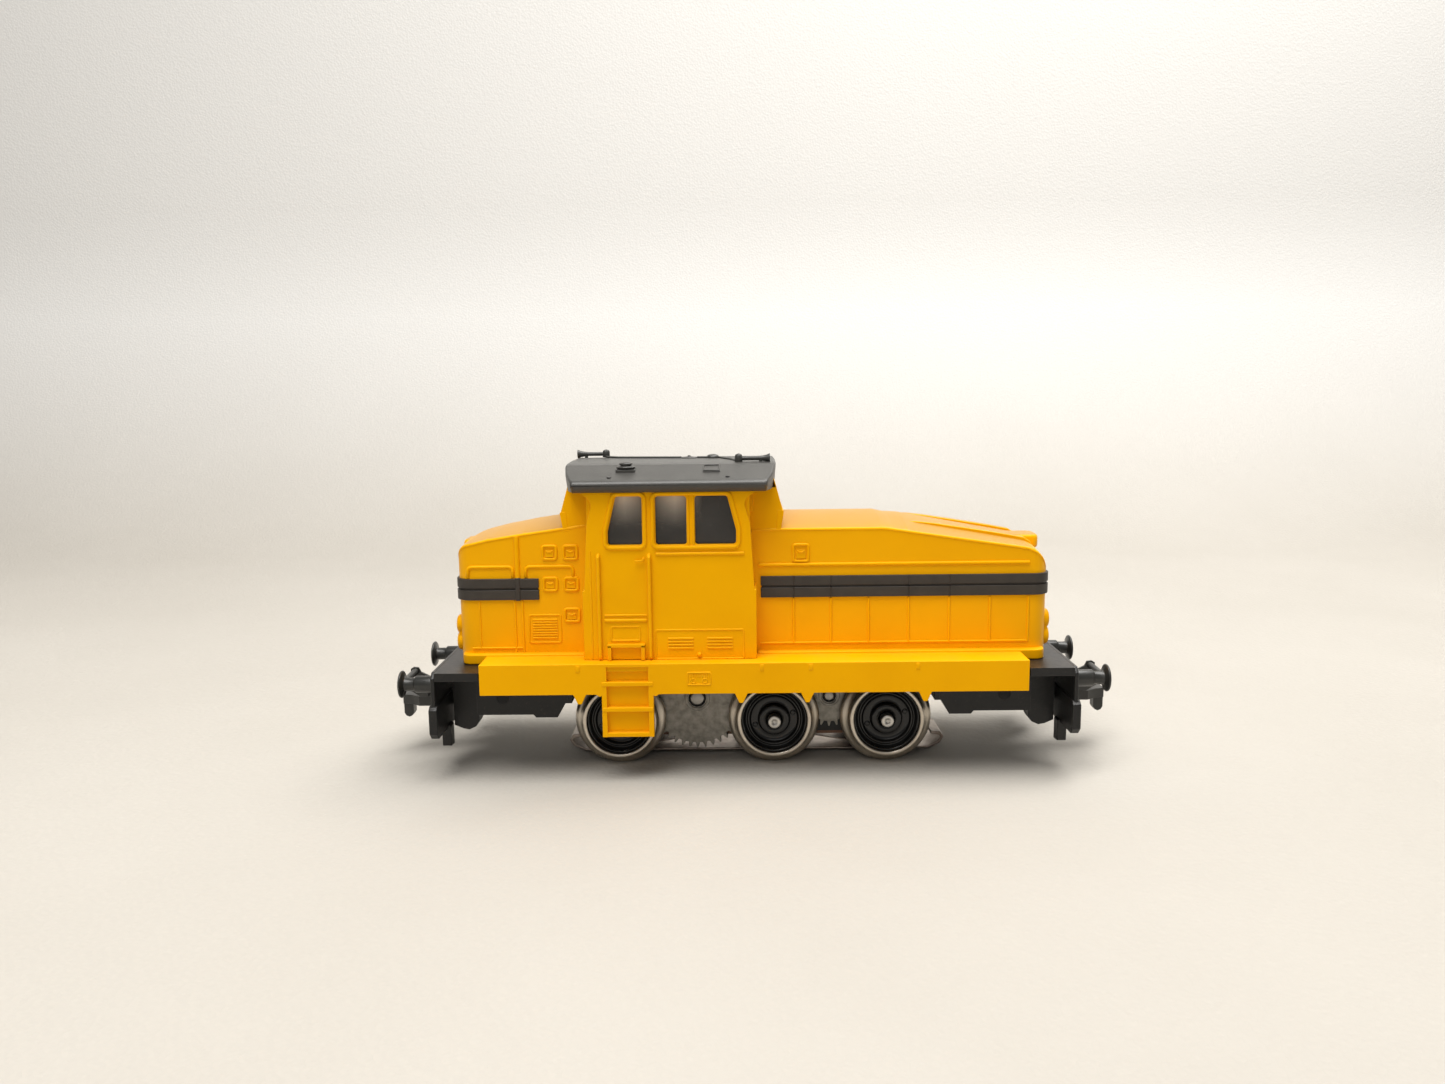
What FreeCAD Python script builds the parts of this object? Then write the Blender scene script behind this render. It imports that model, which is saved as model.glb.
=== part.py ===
import FreeCAD, Part
import math
import os
import Sketcher

# Model of a three-axle diesel shunting locomotive for H0 track, driven through spur gears.
# Millimetres. +X runs towards the long bonnet, +Y across, +Z up.
# The origin is on the table, under the middle of the locomotive.

SIZES = {
    # wheels and gear train
    "axle_z": 7.4, "axle_one_x": -21.5, "axle_two_x": 3.4, "axle_three_x": 21.5,
    "axle_rad": 1.05, "axle_half": 10.7, "tread_rad": 6.0, "flange_rad": 7.4,
    "wheel_back": 7.0, "flange_side": 8.1, "wheel_front": 10.0, "centre_rad": 5.3,
    "centre_face": 9.4, "running_gap": 0.05, "gear_module": 0.4, "gear_back": 5.35, "gear_front": 6.75,
    "drive_x": -9.05, "drive_z": 10.37, "idler_x": 12.45, "idler_z": 10.6,
    "rotor_x": -4.55, "rotor_z": 19.3, "drive_pin_rad": 1.25, "idler_pin_rad": 0.9,
    # cast chassis
    "deck_top": 17.5, "deck_under": 16.2, "deck_half_x": 49.3, "deck_half_y": 16.5,
    "deck_waist_y": 15.9, "block_half_y": 5.0, "block_under": 4.2, "block_half_x": 28.2,
    "frame_half_y": 9.5, "frame_under": 8.7, "frame_inner_x": 31.5, "frame_outer_x": 44.0,
    "cheek_inner_x": 44.4, "cheek_outer_x": 48.5, "cheek_under": 6.0,
    "cheek_inner_y": 4.6, "cheek_outer_y": 8.5,
    # end beams, buffers and couplers
    "beam_face": 49.9, "beam_under": 12.0, "plate_face": 50.3, "plate_back": 49.0,
    "plate_under": 6.9, "plate_inner_y": 5.0, "guard_y": 9.5, "guard_under": 3.7,
    "buffer_face": 56.5, "buffer_y": 10.05, "buffer_z": 14.1, "buffer_disc_rad": 2.2,
    "coupler_pivot_x": 46.0, "coupler_z": 9.1, "coupler_end": 58.9, "loop_pivot_x": 54.6,
    "loop_top": 13.5, "loop_half_y": 3.4, "wire_rad": 0.55,
    # walkways and steps
    "walk_top": 18.85, "skirt_half_x": 42.25, "skirt_half_y": 17.0, "skirt_under": 14.0,
    "skirt_wall": 1.0, "ladder_low_x": -23.4, "ladder_high_x": -15.4, "ladder_under": 7.2,
    "ladder_depth": 1.5, "ladder_frame": 0.85,
    # body shell
    "bonnet_half_y": 10.1, "shoulder_y": 8.0, "bonnet_half_x": 46.15, "shell_wall": 1.0,
    "cab_half_y": 14.2, "cab_low_x": -26.26, "cab_high_x": 0.62, "cab_top": 45.0,
    "sill_top": 29.7, "window_sill": 36.85, "window_head": 44.35,
    "crown_half_y": 10.0, "crown_low_x": -29.9, "crown_high_x": 4.95, "crown_sill": 40.3,
    # roof
    "roof_eave_y": 15.5, "roof_fold_y": 15.8, "roof_fold_z": 46.7, "roof_flat_y": 8.0,
    "roof_top": 48.9, "roof_low_x": -28.8, "roof_high_x": 3.8,
    # current collector
    "shoe_under": 0.5, "shoe_thick": 0.4, "shoe_half_y": 3.7, "shoe_low_x": -30.6,
    "shoe_high_x": 31.8, "shoe_end_z": 3.4, "insulator_under": 3.6,
}
DRIVE_TEETH = 40
AXLE_TEETH = 24
IDLER_TEETH = 24
PINION_TEETH = 10
ENDS = (("front", 1), ("rear", -1))

doc = FreeCAD.newDocument("Locomotive")
sheet = doc.addObject("Spreadsheet::Sheet", "Dims")
for row, (alias, number) in enumerate(SIZES.items(), start=1):
    sheet.set(f"A{row}", alias)
    sheet.set(f"B{row}", f"{number:g}")
    sheet.setAlias(f"B{row}", alias)
doc.recompute()


class Size:
    """A number together with the expression of sheet cells that it comes from."""

    def __init__(self, value, text):
        self.value = value
        self.text = text

    def joined(self, sign, other, value):
        return Size(value, f"({self.text} {sign} {written(other)})")

    def __add__(self, other):
        return self.joined("+", other, self.value + plain(other))

    def __sub__(self, other):
        return self.joined("-", other, self.value - plain(other))

    def __mul__(self, other):
        return self.joined("*", other, self.value * plain(other))

    def __truediv__(self, other):
        return self.joined("/", other, self.value / plain(other))

    def __radd__(self, other):
        return self + other

    def __rmul__(self, other):
        return self * other

    def __rsub__(self, other):
        return self * -1 + other

    def __neg__(self):
        return self * -1


def plain(number):
    return number.value if isinstance(number, Size) else number


def written(number):
    return number.text if isinstance(number, Size) else f"{number:.6g}"


class Sheet:
    """Gives each cell of the spreadsheet by its alias, as in cell.deck_top."""

    def __getattr__(self, alias):
        return Size(SIZES[alias], f"Dims.{alias}")


cell = Sheet()
pieces = []


def bind(target, prop, number):
    """Set a property to a number, and tie it to the sheet where the number comes from there."""
    if isinstance(number, Size):
        target.setExpression(prop, number.text)
    else:
        target.setExpression(prop, f"{number:.6g}")


def place(piece, x=0.0, y=0.0, z=0.0):
    for axis, number in (("x", x), ("y", y), ("z", z)):
        bind(piece, f"Placement.Base.{axis}", number)


def keep(piece, label):
    """Name a finished sub-part, so that it is checked and written out."""
    piece.Label = label
    pieces.append(piece)
    return piece


def new_body(label):
    return keep(doc.addObject("PartDesign::Body", label), label)


def new_sketch(body, plane, station=0.0):
    """A sketch on one of the body's own origin planes, moved along the plane's normal."""
    sketch = body.newObject("Sketcher::SketchObject", "Sketch")
    base = [item for item in body.Origin.OriginFeatures if item.Role == plane + "_Plane"][0]
    sketch.AttachmentSupport = [(base, "")]
    sketch.MapMode = "FlatFace"
    bind(sketch, "AttachmentOffset.Base.z", station)
    return sketch


def pin_point(sketch, index, corner, point):
    """Hold a sketch point at a position measured from the sketch's origin."""
    for kind, number, axis in (("DistanceX", point[0], -2), ("DistanceY", point[1], -1)):
        if plain(number) == 0:
            sketch.addConstraint(Sketcher.Constraint("PointOnObject", index, corner, axis))
        else:
            held = sketch.addConstraint(
                Sketcher.Constraint(kind, -1, 1, index, corner, plain(number)))
            if isinstance(number, Size):
                sketch.setExpression(f"Constraints[{held}]", number.text)


def polygon(sketch, points):
    first = sketch.GeometryCount
    count = len(points)
    corners = [FreeCAD.Vector(plain(x), plain(y), 0) for x, y in points]
    for index in range(count):
        sketch.addGeometry(Part.LineSegment(corners[index], corners[(index + 1) % count]), False)
    for index in range(count):
        following = first + (index + 1) % count
        sketch.addConstraint(Sketcher.Constraint("Coincident", first + index, 2, following, 1))
    for index, point in enumerate(points):
        pin_point(sketch, first + index, 1, point)


def circle(sketch, centre, radius):
    middle = FreeCAD.Vector(plain(centre[0]), plain(centre[1]), 0)
    index = sketch.addGeometry(Part.Circle(middle, FreeCAD.Vector(0, 0, 1), plain(radius)), False)
    held = sketch.addConstraint(Sketcher.Constraint("Radius", index, plain(radius)))
    if isinstance(radius, Size):
        sketch.setExpression(f"Constraints[{held}]", radius.text)
    pin_point(sketch, index, 3, centre)


def box_points(x_low, x_high, y_low, y_high):
    return [(x_low, y_low), (x_high, y_low), (x_high, y_high), (x_low, y_high)]


def draw(sketch, outline):
    """Outlines are lists of points; a circle is (centre, radius)."""
    if len(outline) == 2:
        circle(sketch, outline[0], outline[1])
    else:
        polygon(sketch, outline)


def pad(body, plane, outline, low, high):
    """Add material between two stations along the plane's axis (X for YZ, Y for XZ, Z for XY)."""
    station = -high if plane == "XZ" else low
    sketch = new_sketch(body, plane, station)
    draw(sketch, outline)
    feature = body.newObject("PartDesign::Pad", "Pad")
    feature.Profile = sketch
    bind(feature, "Length", high - low)
    return feature


def pocket(body, plane, outline, low, high):
    """Remove material between two stations, and make sure that some was removed."""
    doc.recompute()
    before = body.Shape.Volume
    station = -low if plane == "XZ" else high
    sketch = new_sketch(body, plane, station)
    draw(sketch, outline)
    feature = body.newObject("PartDesign::Pocket", "Pocket")
    feature.Profile = sketch
    bind(feature, "Length", high - low)
    doc.recompute()
    if body.Shape.Volume >= before - 1e-6:
        raise RuntimeError(f"a pocket in {body.Label} cuts nothing")
    return feature


def revolve(body, outline):
    """Turn a profile of (radius, y) points about the body's own Y axis."""
    sketch = new_sketch(body, "XY")
    polygon(sketch, outline)
    feature = body.newObject("PartDesign::Revolution", "Revolution")
    feature.Profile = sketch
    feature.ReferenceAxis = (sketch, ["V_Axis"])
    feature.Angle = 360
    return feature


def loft(body, kind, sections):
    """Join YZ outlines, each at its own X station, with straight-ruled faces."""
    sketches = []
    for station, outline in sections:
        sketch = new_sketch(body, "YZ", station)
        polygon(sketch, outline)
        sketches.append(sketch)
    feature = body.newObject("PartDesign::" + kind, "Loft")
    feature.Profile = sketches[0]
    feature.Sections = sketches[1:]
    feature.Ruled = True
    return feature


def cylinder(name, radius, length, direction, x, y, z):
    """A Part cylinder along X, Y or Z, starting at (x, y, z)."""
    rod = doc.addObject("Part::Cylinder", name)
    bind(rod, "Radius", radius)
    bind(rod, "Height", length)
    turns = {"X": (FreeCAD.Vector(0, 1, 0), 90), "Y": (FreeCAD.Vector(1, 0, 0), -90),
             "Z": (FreeCAD.Vector(0, 0, 1), 0)}
    axis, angle = turns[direction]
    rod.Placement = FreeCAD.Placement(FreeCAD.Vector(), FreeCAD.Rotation(axis, angle))
    place(rod, x, y, z)
    return rod


def block(name, x_low, x_high, y_low, y_high, z_low, z_high):
    box = doc.addObject("Part::Box", name)
    bind(box, "Length", x_high - x_low)
    bind(box, "Width", y_high - y_low)
    bind(box, "Height", z_high - z_low)
    place(box, x_low, y_low, z_low)
    return box


def group(label, members):
    """Several separate solids that share one node."""
    bundle = doc.addObject("Part::Compound", label)
    bundle.Links = members
    return keep(bundle, label)


def fused(label, members):
    union = doc.addObject("Part::MultiFuse", label)
    union.Shapes = members
    return keep(union, label)


def mirrored_points(points, side):
    return [(side * x, y) for x, y in points]


# ---------------------------------------------------------------- gears

def mesh_phase(own_teeth, own_phase, next_teeth, direction):
    """Tooth phase, in degrees, of a gear that meshes with another in the given direction."""
    own_pitch = 360.0 / own_teeth
    next_pitch = 360.0 / next_teeth
    own_place = (direction - own_phase) / own_pitch
    return direction + 180.0 - (0.5 - own_place) * next_pitch


def direction_between(start, end):
    return math.degrees(math.atan2(plain(end[1]) - plain(start[1]), plain(end[0]) - plain(start[0])))


def gear(label, teeth, centre, bore, phase):
    """Spur gear about Y: a disc whose tooth gaps are cut once and repeated round it."""
    body = new_body(label)
    pitch_rad = cell.gear_module * (teeth / 2)
    tip_rad = pitch_rad + cell.gear_module * 0.8
    root_rad = pitch_rad - cell.gear_module * 1.25
    pad(body, "XZ", ((0, 0), tip_rad), cell.gear_back * -1 - 1.4, cell.gear_back * -1)
    gap_angle = math.pi / teeth
    beyond = tip_rad + 0.3
    gap_mid = [(root_rad, -0.24), (root_rad, 0.24)]
    half_tip = plain(beyond) * math.sin(gap_angle) - 0.03
    gap = [gap_mid[0], (beyond, -half_tip), (beyond, half_tip), gap_mid[1]]
    cut = pocket(body, "XZ", gap, cell.gear_front * -1 - 0.2, cell.gear_back * -1 + 0.2)
    pattern = body.newObject("PartDesign::PolarPattern", "Teeth")
    pattern.Originals = [cut]
    pattern.Axis = ([item for item in body.Origin.OriginFeatures if item.Role == "Y_Axis"][0], [""])
    pattern.Angle = 360
    pattern.Occurrences = teeth
    body.Tip = pattern
    pocket(body, "XZ", ((0, 0), bore), cell.gear_front * -1 - 0.2, cell.gear_back * -1 + 0.2)
    half_pitch = 180.0 / teeth
    body.Placement = FreeCAD.Placement(
        FreeCAD.Vector(), FreeCAD.Rotation(FreeCAD.Vector(0, -1, 0), phase + half_pitch))
    place(body, centre[0], 0.0, centre[1])
    return body


def gear_train():
    """Motor pinion, drive gear, three axle gears and the idler, all in mesh at rest."""
    drive = (cell.drive_x, cell.drive_z)
    rotor = (cell.rotor_x, cell.rotor_z)
    idler = (cell.idler_x, cell.idler_z)
    axles = [(cell.axle_one_x, cell.axle_z), (cell.axle_two_x, cell.axle_z),
             (cell.axle_three_x, cell.axle_z)]
    gear("drive_gear", DRIVE_TEETH, drive, cell.drive_pin_rad + cell.running_gap, 0.0)
    pinion_phase = mesh_phase(DRIVE_TEETH, 0.0, PINION_TEETH, direction_between(drive, rotor))
    gear("motor_pinion", PINION_TEETH, rotor, 0.75, pinion_phase)
    phases = [mesh_phase(DRIVE_TEETH, 0.0, AXLE_TEETH, direction_between(drive, axle))
              for axle in axles[:2]]
    idler_phase = mesh_phase(AXLE_TEETH, phases[1], IDLER_TEETH, direction_between(axles[1], idler))
    gear("idler_gear", IDLER_TEETH, idler, cell.idler_pin_rad + cell.running_gap, idler_phase)
    phases.append(mesh_phase(IDLER_TEETH, idler_phase, AXLE_TEETH, direction_between(idler, axles[2])))
    for number, (axle, phase) in enumerate(zip(axles, phases), start=1):
        gear(f"axle_gear_{number}", AXLE_TEETH, axle, cell.axle_rad, phase)


# ---------------------------------------------------------------- wheelsets

def tyre_profile(side):
    """Flanged tyre, as (radius, y) points from the back of the wheel to its front."""
    points = [
        (cell.centre_rad, cell.wheel_back), (cell.flange_rad - 0.5, cell.wheel_back),
        (cell.flange_rad, cell.wheel_back + 0.4), (cell.flange_rad - 0.3, cell.flange_side - 0.3),
        (cell.tread_rad + 0.15, cell.flange_side + 0.1), (cell.tread_rad, cell.wheel_front - 0.25),
        (cell.tread_rad - 0.2, cell.wheel_front), (cell.centre_rad, cell.wheel_front)]
    return [(radius, y * side) for radius, y in points]


def centre_profile(side):
    """Dished wheel centre with a hub and a raised ring."""
    face = cell.centre_face
    points = [
        (cell.axle_rad, cell.wheel_back), (cell.centre_rad, cell.wheel_back),
        (cell.centre_rad, face), (4.7, face), (4.4, face - 0.9), (4.15, face - 0.1),
        (3.75, face - 0.1), (3.4, face - 0.9), (2.6, face - 0.9), (2.35, face + 0.2),
        (cell.axle_rad, face + 0.2)]
    return [(radius, y * side) for radius, y in points]


def wheelset(number, axle_x):
    centres = []
    for side, hand in ((1, "left"), (-1, "right")):
        tyre = new_body(f"tyre_{number}_{hand}")
        revolve(tyre, tyre_profile(side))
        centre = doc.addObject("PartDesign::Body", "centre")
        revolve(centre, centre_profile(side))
        centres.append(centre)
        for piece in (tyre, centre):
            place(piece, axle_x, 0.0, cell.axle_z)
    group(f"wheel_centres_{number}", centres)
    axle = cylinder(f"axle_{number}", cell.axle_rad, cell.axle_half * 2, "Y",
                    axle_x, -cell.axle_half, cell.axle_z)
    keep(axle, f"axle_{number}")


# ---------------------------------------------------------------- chassis

def chassis_frame():
    """Cast deck with the gear block, the frame ends, the coupler cheeks and the motor bay."""
    body = new_body("chassis_frame")
    waist = cell.skirt_half_x + 0.25
    deck = [
        (-cell.deck_half_x, -cell.deck_half_y), (-waist, -cell.deck_half_y),
        (-waist, -cell.deck_waist_y), (waist, -cell.deck_waist_y), (waist, -cell.deck_half_y),
        (cell.deck_half_x, -cell.deck_half_y), (cell.deck_half_x, cell.deck_half_y),
        (waist, cell.deck_half_y), (waist, cell.deck_waist_y), (-waist, cell.deck_waist_y),
        (-waist, cell.deck_half_y), (-cell.deck_half_x, cell.deck_half_y)]
    pad(body, "XY", deck, cell.deck_under, cell.deck_top)
    pad(body, "XZ", box_points(-cell.block_half_x, cell.block_half_x,
                               cell.block_under, cell.deck_under),
        -cell.block_half_y, cell.block_half_y)
    for _, side in ENDS:
        lug = mirrored_points([
            (cell.block_half_x - 0.2, cell.deck_under), (cell.block_half_x - 0.2, 12.0),
            (cell.frame_inner_x - 1.6, 11.0), (cell.frame_inner_x, cell.frame_under - 0.5),
            (cell.frame_inner_x + 3.5, cell.frame_under - 0.5),
            (cell.frame_inner_x + 3.9, cell.frame_under), (cell.cheek_outer_x, cell.frame_under),
            (cell.cheek_outer_x, cell.deck_under)], side)
        pad(body, "XZ", lug, -cell.cheek_inner_y + 0.1, cell.cheek_inner_y - 0.1)
        frame = mirrored_points([
            (cell.frame_inner_x - 1.6, cell.deck_under), (cell.frame_inner_x - 1.6, 11.0),
            (cell.frame_inner_x, cell.frame_under - 0.5),
            (cell.frame_inner_x + 3.5, cell.frame_under - 0.5),
            (cell.frame_inner_x + 3.9, cell.frame_under),
            (cell.frame_outer_x + 0.5, cell.frame_under),
            (cell.frame_outer_x + 0.5, cell.deck_under)], side)
        pad(body, "XZ", frame, -cell.frame_half_y, cell.frame_half_y)
        for hand in (1, -1):
            cheek = mirrored_points([
                (cell.cheek_inner_x, cell.deck_under), (cell.cheek_inner_x, cell.cheek_under + 1.6),
                (cell.cheek_inner_x + 0.6, cell.cheek_under + 0.5),
                (cell.cheek_inner_x + 1.7, cell.cheek_under),
                (cell.cheek_outer_x - 1.4, cell.cheek_under + 0.2),
                (cell.cheek_outer_x, cell.cheek_under + 0.8),
                (cell.cheek_outer_x, cell.deck_under)], side)
            inner = cell.cheek_inner_y * hand
            outer = cell.cheek_outer_y * hand
            pad(body, "XZ", cheek, inner if hand > 0 else outer, outer if hand > 0 else inner)
        coupler_room(body, side)
    motor_bay(body)
    for axle_x in (cell.axle_one_x, cell.axle_two_x, cell.axle_three_x):
        pocket(body, "XZ", ((axle_x, cell.axle_z), cell.axle_rad + cell.running_gap),
               -cell.block_half_y - 1, cell.block_half_y + 1)
    for pin_x, pin_z, radius in ((cell.drive_x, cell.drive_z, cell.drive_pin_rad),
                                 (cell.idler_x, cell.idler_z, cell.idler_pin_rad)):
        pocket(body, "XZ", ((pin_x, pin_z), radius), -cell.block_half_y - 1, -1.5)
    gear_slots(body)


def coupler_room(body, side):
    """Slot between the cheeks in which the coupler swings, and the hole for its pivot pin."""
    low = cell.cheek_inner_x - 1.8
    high = cell.cheek_outer_x + 0.5
    outline = mirrored_points([(low, 7.0), (high, 7.0), (high, 11.4), (low, 11.4)], side)
    pocket(body, "XZ", outline, -cell.cheek_inner_y, cell.cheek_inner_y)
    pocket(body, "XY", ((cell.coupler_pivot_x * side, 0), 0.8), 11.0, cell.deck_top + 1)


def motor_bay(body):
    """Opening in the deck, recess in the block and the bearing wall for the motor shaft."""
    pocket(body, "XY", box_points(-14.6, 5.6, -7.4, 8.6), cell.deck_under - 0.01, cell.deck_top + 1)
    pocket(body, "XY", box_points(-16.2, -14.5, -7.4, -4.9), cell.deck_under - 0.01, cell.deck_top + 1)
    pocket(body, "XZ", box_points(-14.6, 5.6, 11.2, cell.deck_under + 1), -1.3, 6.0)
    pad(body, "XZ", box_points(-13.6, 4.6, cell.deck_under - 1, 24.0), -cell.block_half_y, -1.3)
    pocket(body, "XZ", ((cell.rotor_x, cell.rotor_z), 0.8), -6.0, 0.0)


def gear_slots(body):
    """Shallow clearances in the deck's underside above the flanges of the wheels."""
    for axle_x in (cell.axle_one_x, cell.axle_two_x, cell.axle_three_x):
        for low in (-10.6, 6.6):
            pocket(body, "XY", box_points(axle_x - 4, axle_x + 4, low, low + 4.0),
                   cell.deck_under - 0.5, cell.deck_under + 0.2)


def end_beam(name, side):
    """Buffer beam with its two lower plates and rail guards."""
    body = new_body("end_beam_" + name)
    back = cell.deck_half_x
    upper = [(-cell.skirt_half_y + 0.5, cell.beam_under), (cell.skirt_half_y - 0.5, cell.beam_under),
             (cell.skirt_half_y - 0.5, cell.deck_top - 0.9), (cell.skirt_half_y - 1.4, cell.deck_top),
             (-cell.skirt_half_y + 1.4, cell.deck_top), (-cell.skirt_half_y + 0.5, cell.deck_top - 0.9)]
    low, high = (back, cell.beam_face) if side > 0 else (-cell.beam_face, -back)
    pad(body, "YZ", upper, low, high)
    low, high = (cell.plate_back, cell.plate_face) if side > 0 else (-cell.plate_face, -cell.plate_back)
    for hand in (1, -1):
        plate = [(cell.plate_inner_y, cell.plate_under + 0.8), (cell.plate_inner_y + 0.8, cell.plate_under),
                 (cell.skirt_half_y - 1.0, cell.plate_under),
                 (cell.skirt_half_y, cell.plate_under + 1.0),
                 (cell.skirt_half_y, cell.beam_under - 0.3),
                 (cell.skirt_half_y - 0.8, cell.beam_under + 0.3),
                 (cell.plate_inner_y, cell.beam_under + 0.3)]
        pad(body, "YZ", [(y * hand, z) for y, z in plate], low, high)
        guard = [(cell.guard_y - 1.1, cell.guard_under), (cell.guard_y + 0.9, cell.guard_under + 0.2),
                 (cell.guard_y + 1.1, cell.plate_under + 0.5), (cell.guard_y - 1.1, cell.plate_under + 0.5)]
        start = cell.plate_back - 0.4
        guard_low, guard_high = (start, cell.plate_face - 0.2) if side > 0 \
            else (-cell.plate_face + 0.2, -start)
        pad(body, "YZ", [(y * hand, z) for y, z in guard], guard_low, guard_high)


def buffer(name, side, hand):
    """Round buffer: collar, barrel and a flat head with a chamfered rim, turned in one piece."""
    body = new_body(name)
    start = cell.beam_face
    profile = [
        (0, start), (1.9, start), (1.9, start + 0.5), (1.35, start + 0.6), (1.35, start + 4.2),
        (1.05, start + 4.3), (1.05, cell.buffer_face - 0.7),
        (cell.buffer_disc_rad - 0.1, cell.buffer_face - 0.5),
        (cell.buffer_disc_rad, cell.buffer_face - 0.35),
        (cell.buffer_disc_rad - 0.3, cell.buffer_face), (0, cell.buffer_face)]
    revolve(body, profile)
    body.Placement = FreeCAD.Placement(
        FreeCAD.Vector(), FreeCAD.Rotation(FreeCAD.Vector(0, 0, 1), -90 * side))
    place(body, 0.0, cell.buffer_y * hand, cell.buffer_z)


def coupler(name, side):
    """Flat shank on a vertical pivot, with the drop tongue and the ears for the loop."""
    body = new_body("coupler_" + name)
    half = 0.8
    plan = mirrored_points([
        (cell.coupler_pivot_x - 1.6, -1.5), (cell.coupler_pivot_x + 1.6, -2.0),
        (cell.loop_pivot_x - 1.5, -2.0), (cell.loop_pivot_x - 1.2, -2.7),
        (cell.loop_pivot_x + 1.2, -2.7), (cell.coupler_end - 1.6, -1.6), (cell.coupler_end, -1.2),
        (cell.coupler_end, 1.2), (cell.coupler_end - 1.6, 1.6), (cell.loop_pivot_x + 1.2, 2.7),
        (cell.loop_pivot_x - 1.2, 2.7), (cell.loop_pivot_x - 1.5, 2.0),
        (cell.coupler_pivot_x + 1.6, 2.0), (cell.coupler_pivot_x - 1.6, 1.5)], side)
    pad(body, "XY", plan, cell.coupler_z - half, cell.coupler_z + half)
    tongue = mirrored_points([
        (cell.coupler_end - 1.6, 6.6), (cell.coupler_end - 1.3, 6.1), (cell.coupler_end - 0.8, 5.9),
        (cell.coupler_end - 0.3, 6.1), (cell.coupler_end, 6.6), (cell.coupler_end, cell.coupler_z),
        (cell.coupler_end - 1.6, cell.coupler_z)], side)
    pad(body, "XZ", tongue, -0.9, 0.9)
    ear = mirrored_points([
        (cell.loop_pivot_x - 1.1, cell.coupler_z), (cell.loop_pivot_x + 1.1, cell.coupler_z),
        (cell.loop_pivot_x + 0.9, cell.coupler_z + 2.3),
        (cell.loop_pivot_x - 0.9, cell.coupler_z + 2.3)], side)
    pad(body, "XZ", ear, -2.6, 2.6)
    pocket(body, "XZ",
           ((cell.loop_pivot_x * side, cell.coupler_z + 1.5), cell.wire_rad * 0.6 + cell.running_gap),
           -4.0, 4.0)
    pocket(body, "XY", ((cell.coupler_pivot_x * side, 0), 0.8 + cell.running_gap),
           cell.coupler_z - 2, cell.coupler_z + 2)


def coupler_loop(name, side):
    """Loop that hooks over the next vehicle's coupler: two arms, a pivot wire and a cross bar."""
    arms = []
    pivot_z = cell.coupler_z + 1.5
    for hand in (1, -1):
        arm = doc.addObject("PartDesign::Body", f"loop_arm_{name}")
        outline = mirrored_points([
            (cell.loop_pivot_x - 0.6, pivot_z - 0.5), (cell.loop_pivot_x + 0.7, pivot_z - 0.5),
            (cell.coupler_end - 0.9, cell.loop_top - 1.7), (cell.coupler_end - 0.3, cell.loop_top - 1.2),
            (cell.coupler_end - 0.3, cell.loop_top - 0.3), (cell.coupler_end - 0.8, cell.loop_top),
            (cell.coupler_end - 1.6, cell.loop_top - 0.1), (cell.coupler_end - 2.0, cell.loop_top - 0.9),
            (cell.loop_pivot_x - 0.6, pivot_z + 0.6)], side)
        inner = (cell.loop_half_y - 0.5) * hand
        outer = cell.loop_half_y * hand
        pad(arm, "XZ", outline, inner if hand > 0 else outer, outer if hand > 0 else inner)
        arms.append(arm)
    bar = cylinder("loop_bar", cell.wire_rad, cell.loop_half_y * 2 - 0.2, "Y",
                   (cell.coupler_end - 1.1) * side, -cell.loop_half_y + 0.1, cell.loop_top - 0.75)
    wire = cylinder("loop_wire", cell.wire_rad * 0.6, cell.loop_half_y * 2 - 0.2, "Y",
                    cell.loop_pivot_x * side, -cell.loop_half_y + 0.1, pivot_z)
    fused("coupler_loop_" + name, arms + [bar, wire])


def pins():
    """Turned pins: the gear pins on the block's face and the coupler pivots under the deck."""
    for label, x, z, radius in (("drive_gear_pin", cell.drive_x, cell.drive_z, cell.drive_pin_rad),
                                ("idler_gear_pin", cell.idler_x, cell.idler_z, cell.idler_pin_rad)):
        shank = cylinder(label + "_shank", radius, cell.gear_front + 0.1 - 1.6, "Y",
                         x, -cell.gear_front - 0.1, z)
        head = cylinder(label + "_head", radius + 0.7, 0.1, "Y", x, -cell.gear_front - 0.2, z)
        fused(label, [shank, head])
    group("coupler_pins", [cylinder("coupler_pin", 0.8, cell.deck_top - 7.4, "Z",
                                    cell.coupler_pivot_x * side, 0.0, 7.4) for _, side in ENDS])


# ---------------------------------------------------------------- walkways

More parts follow.
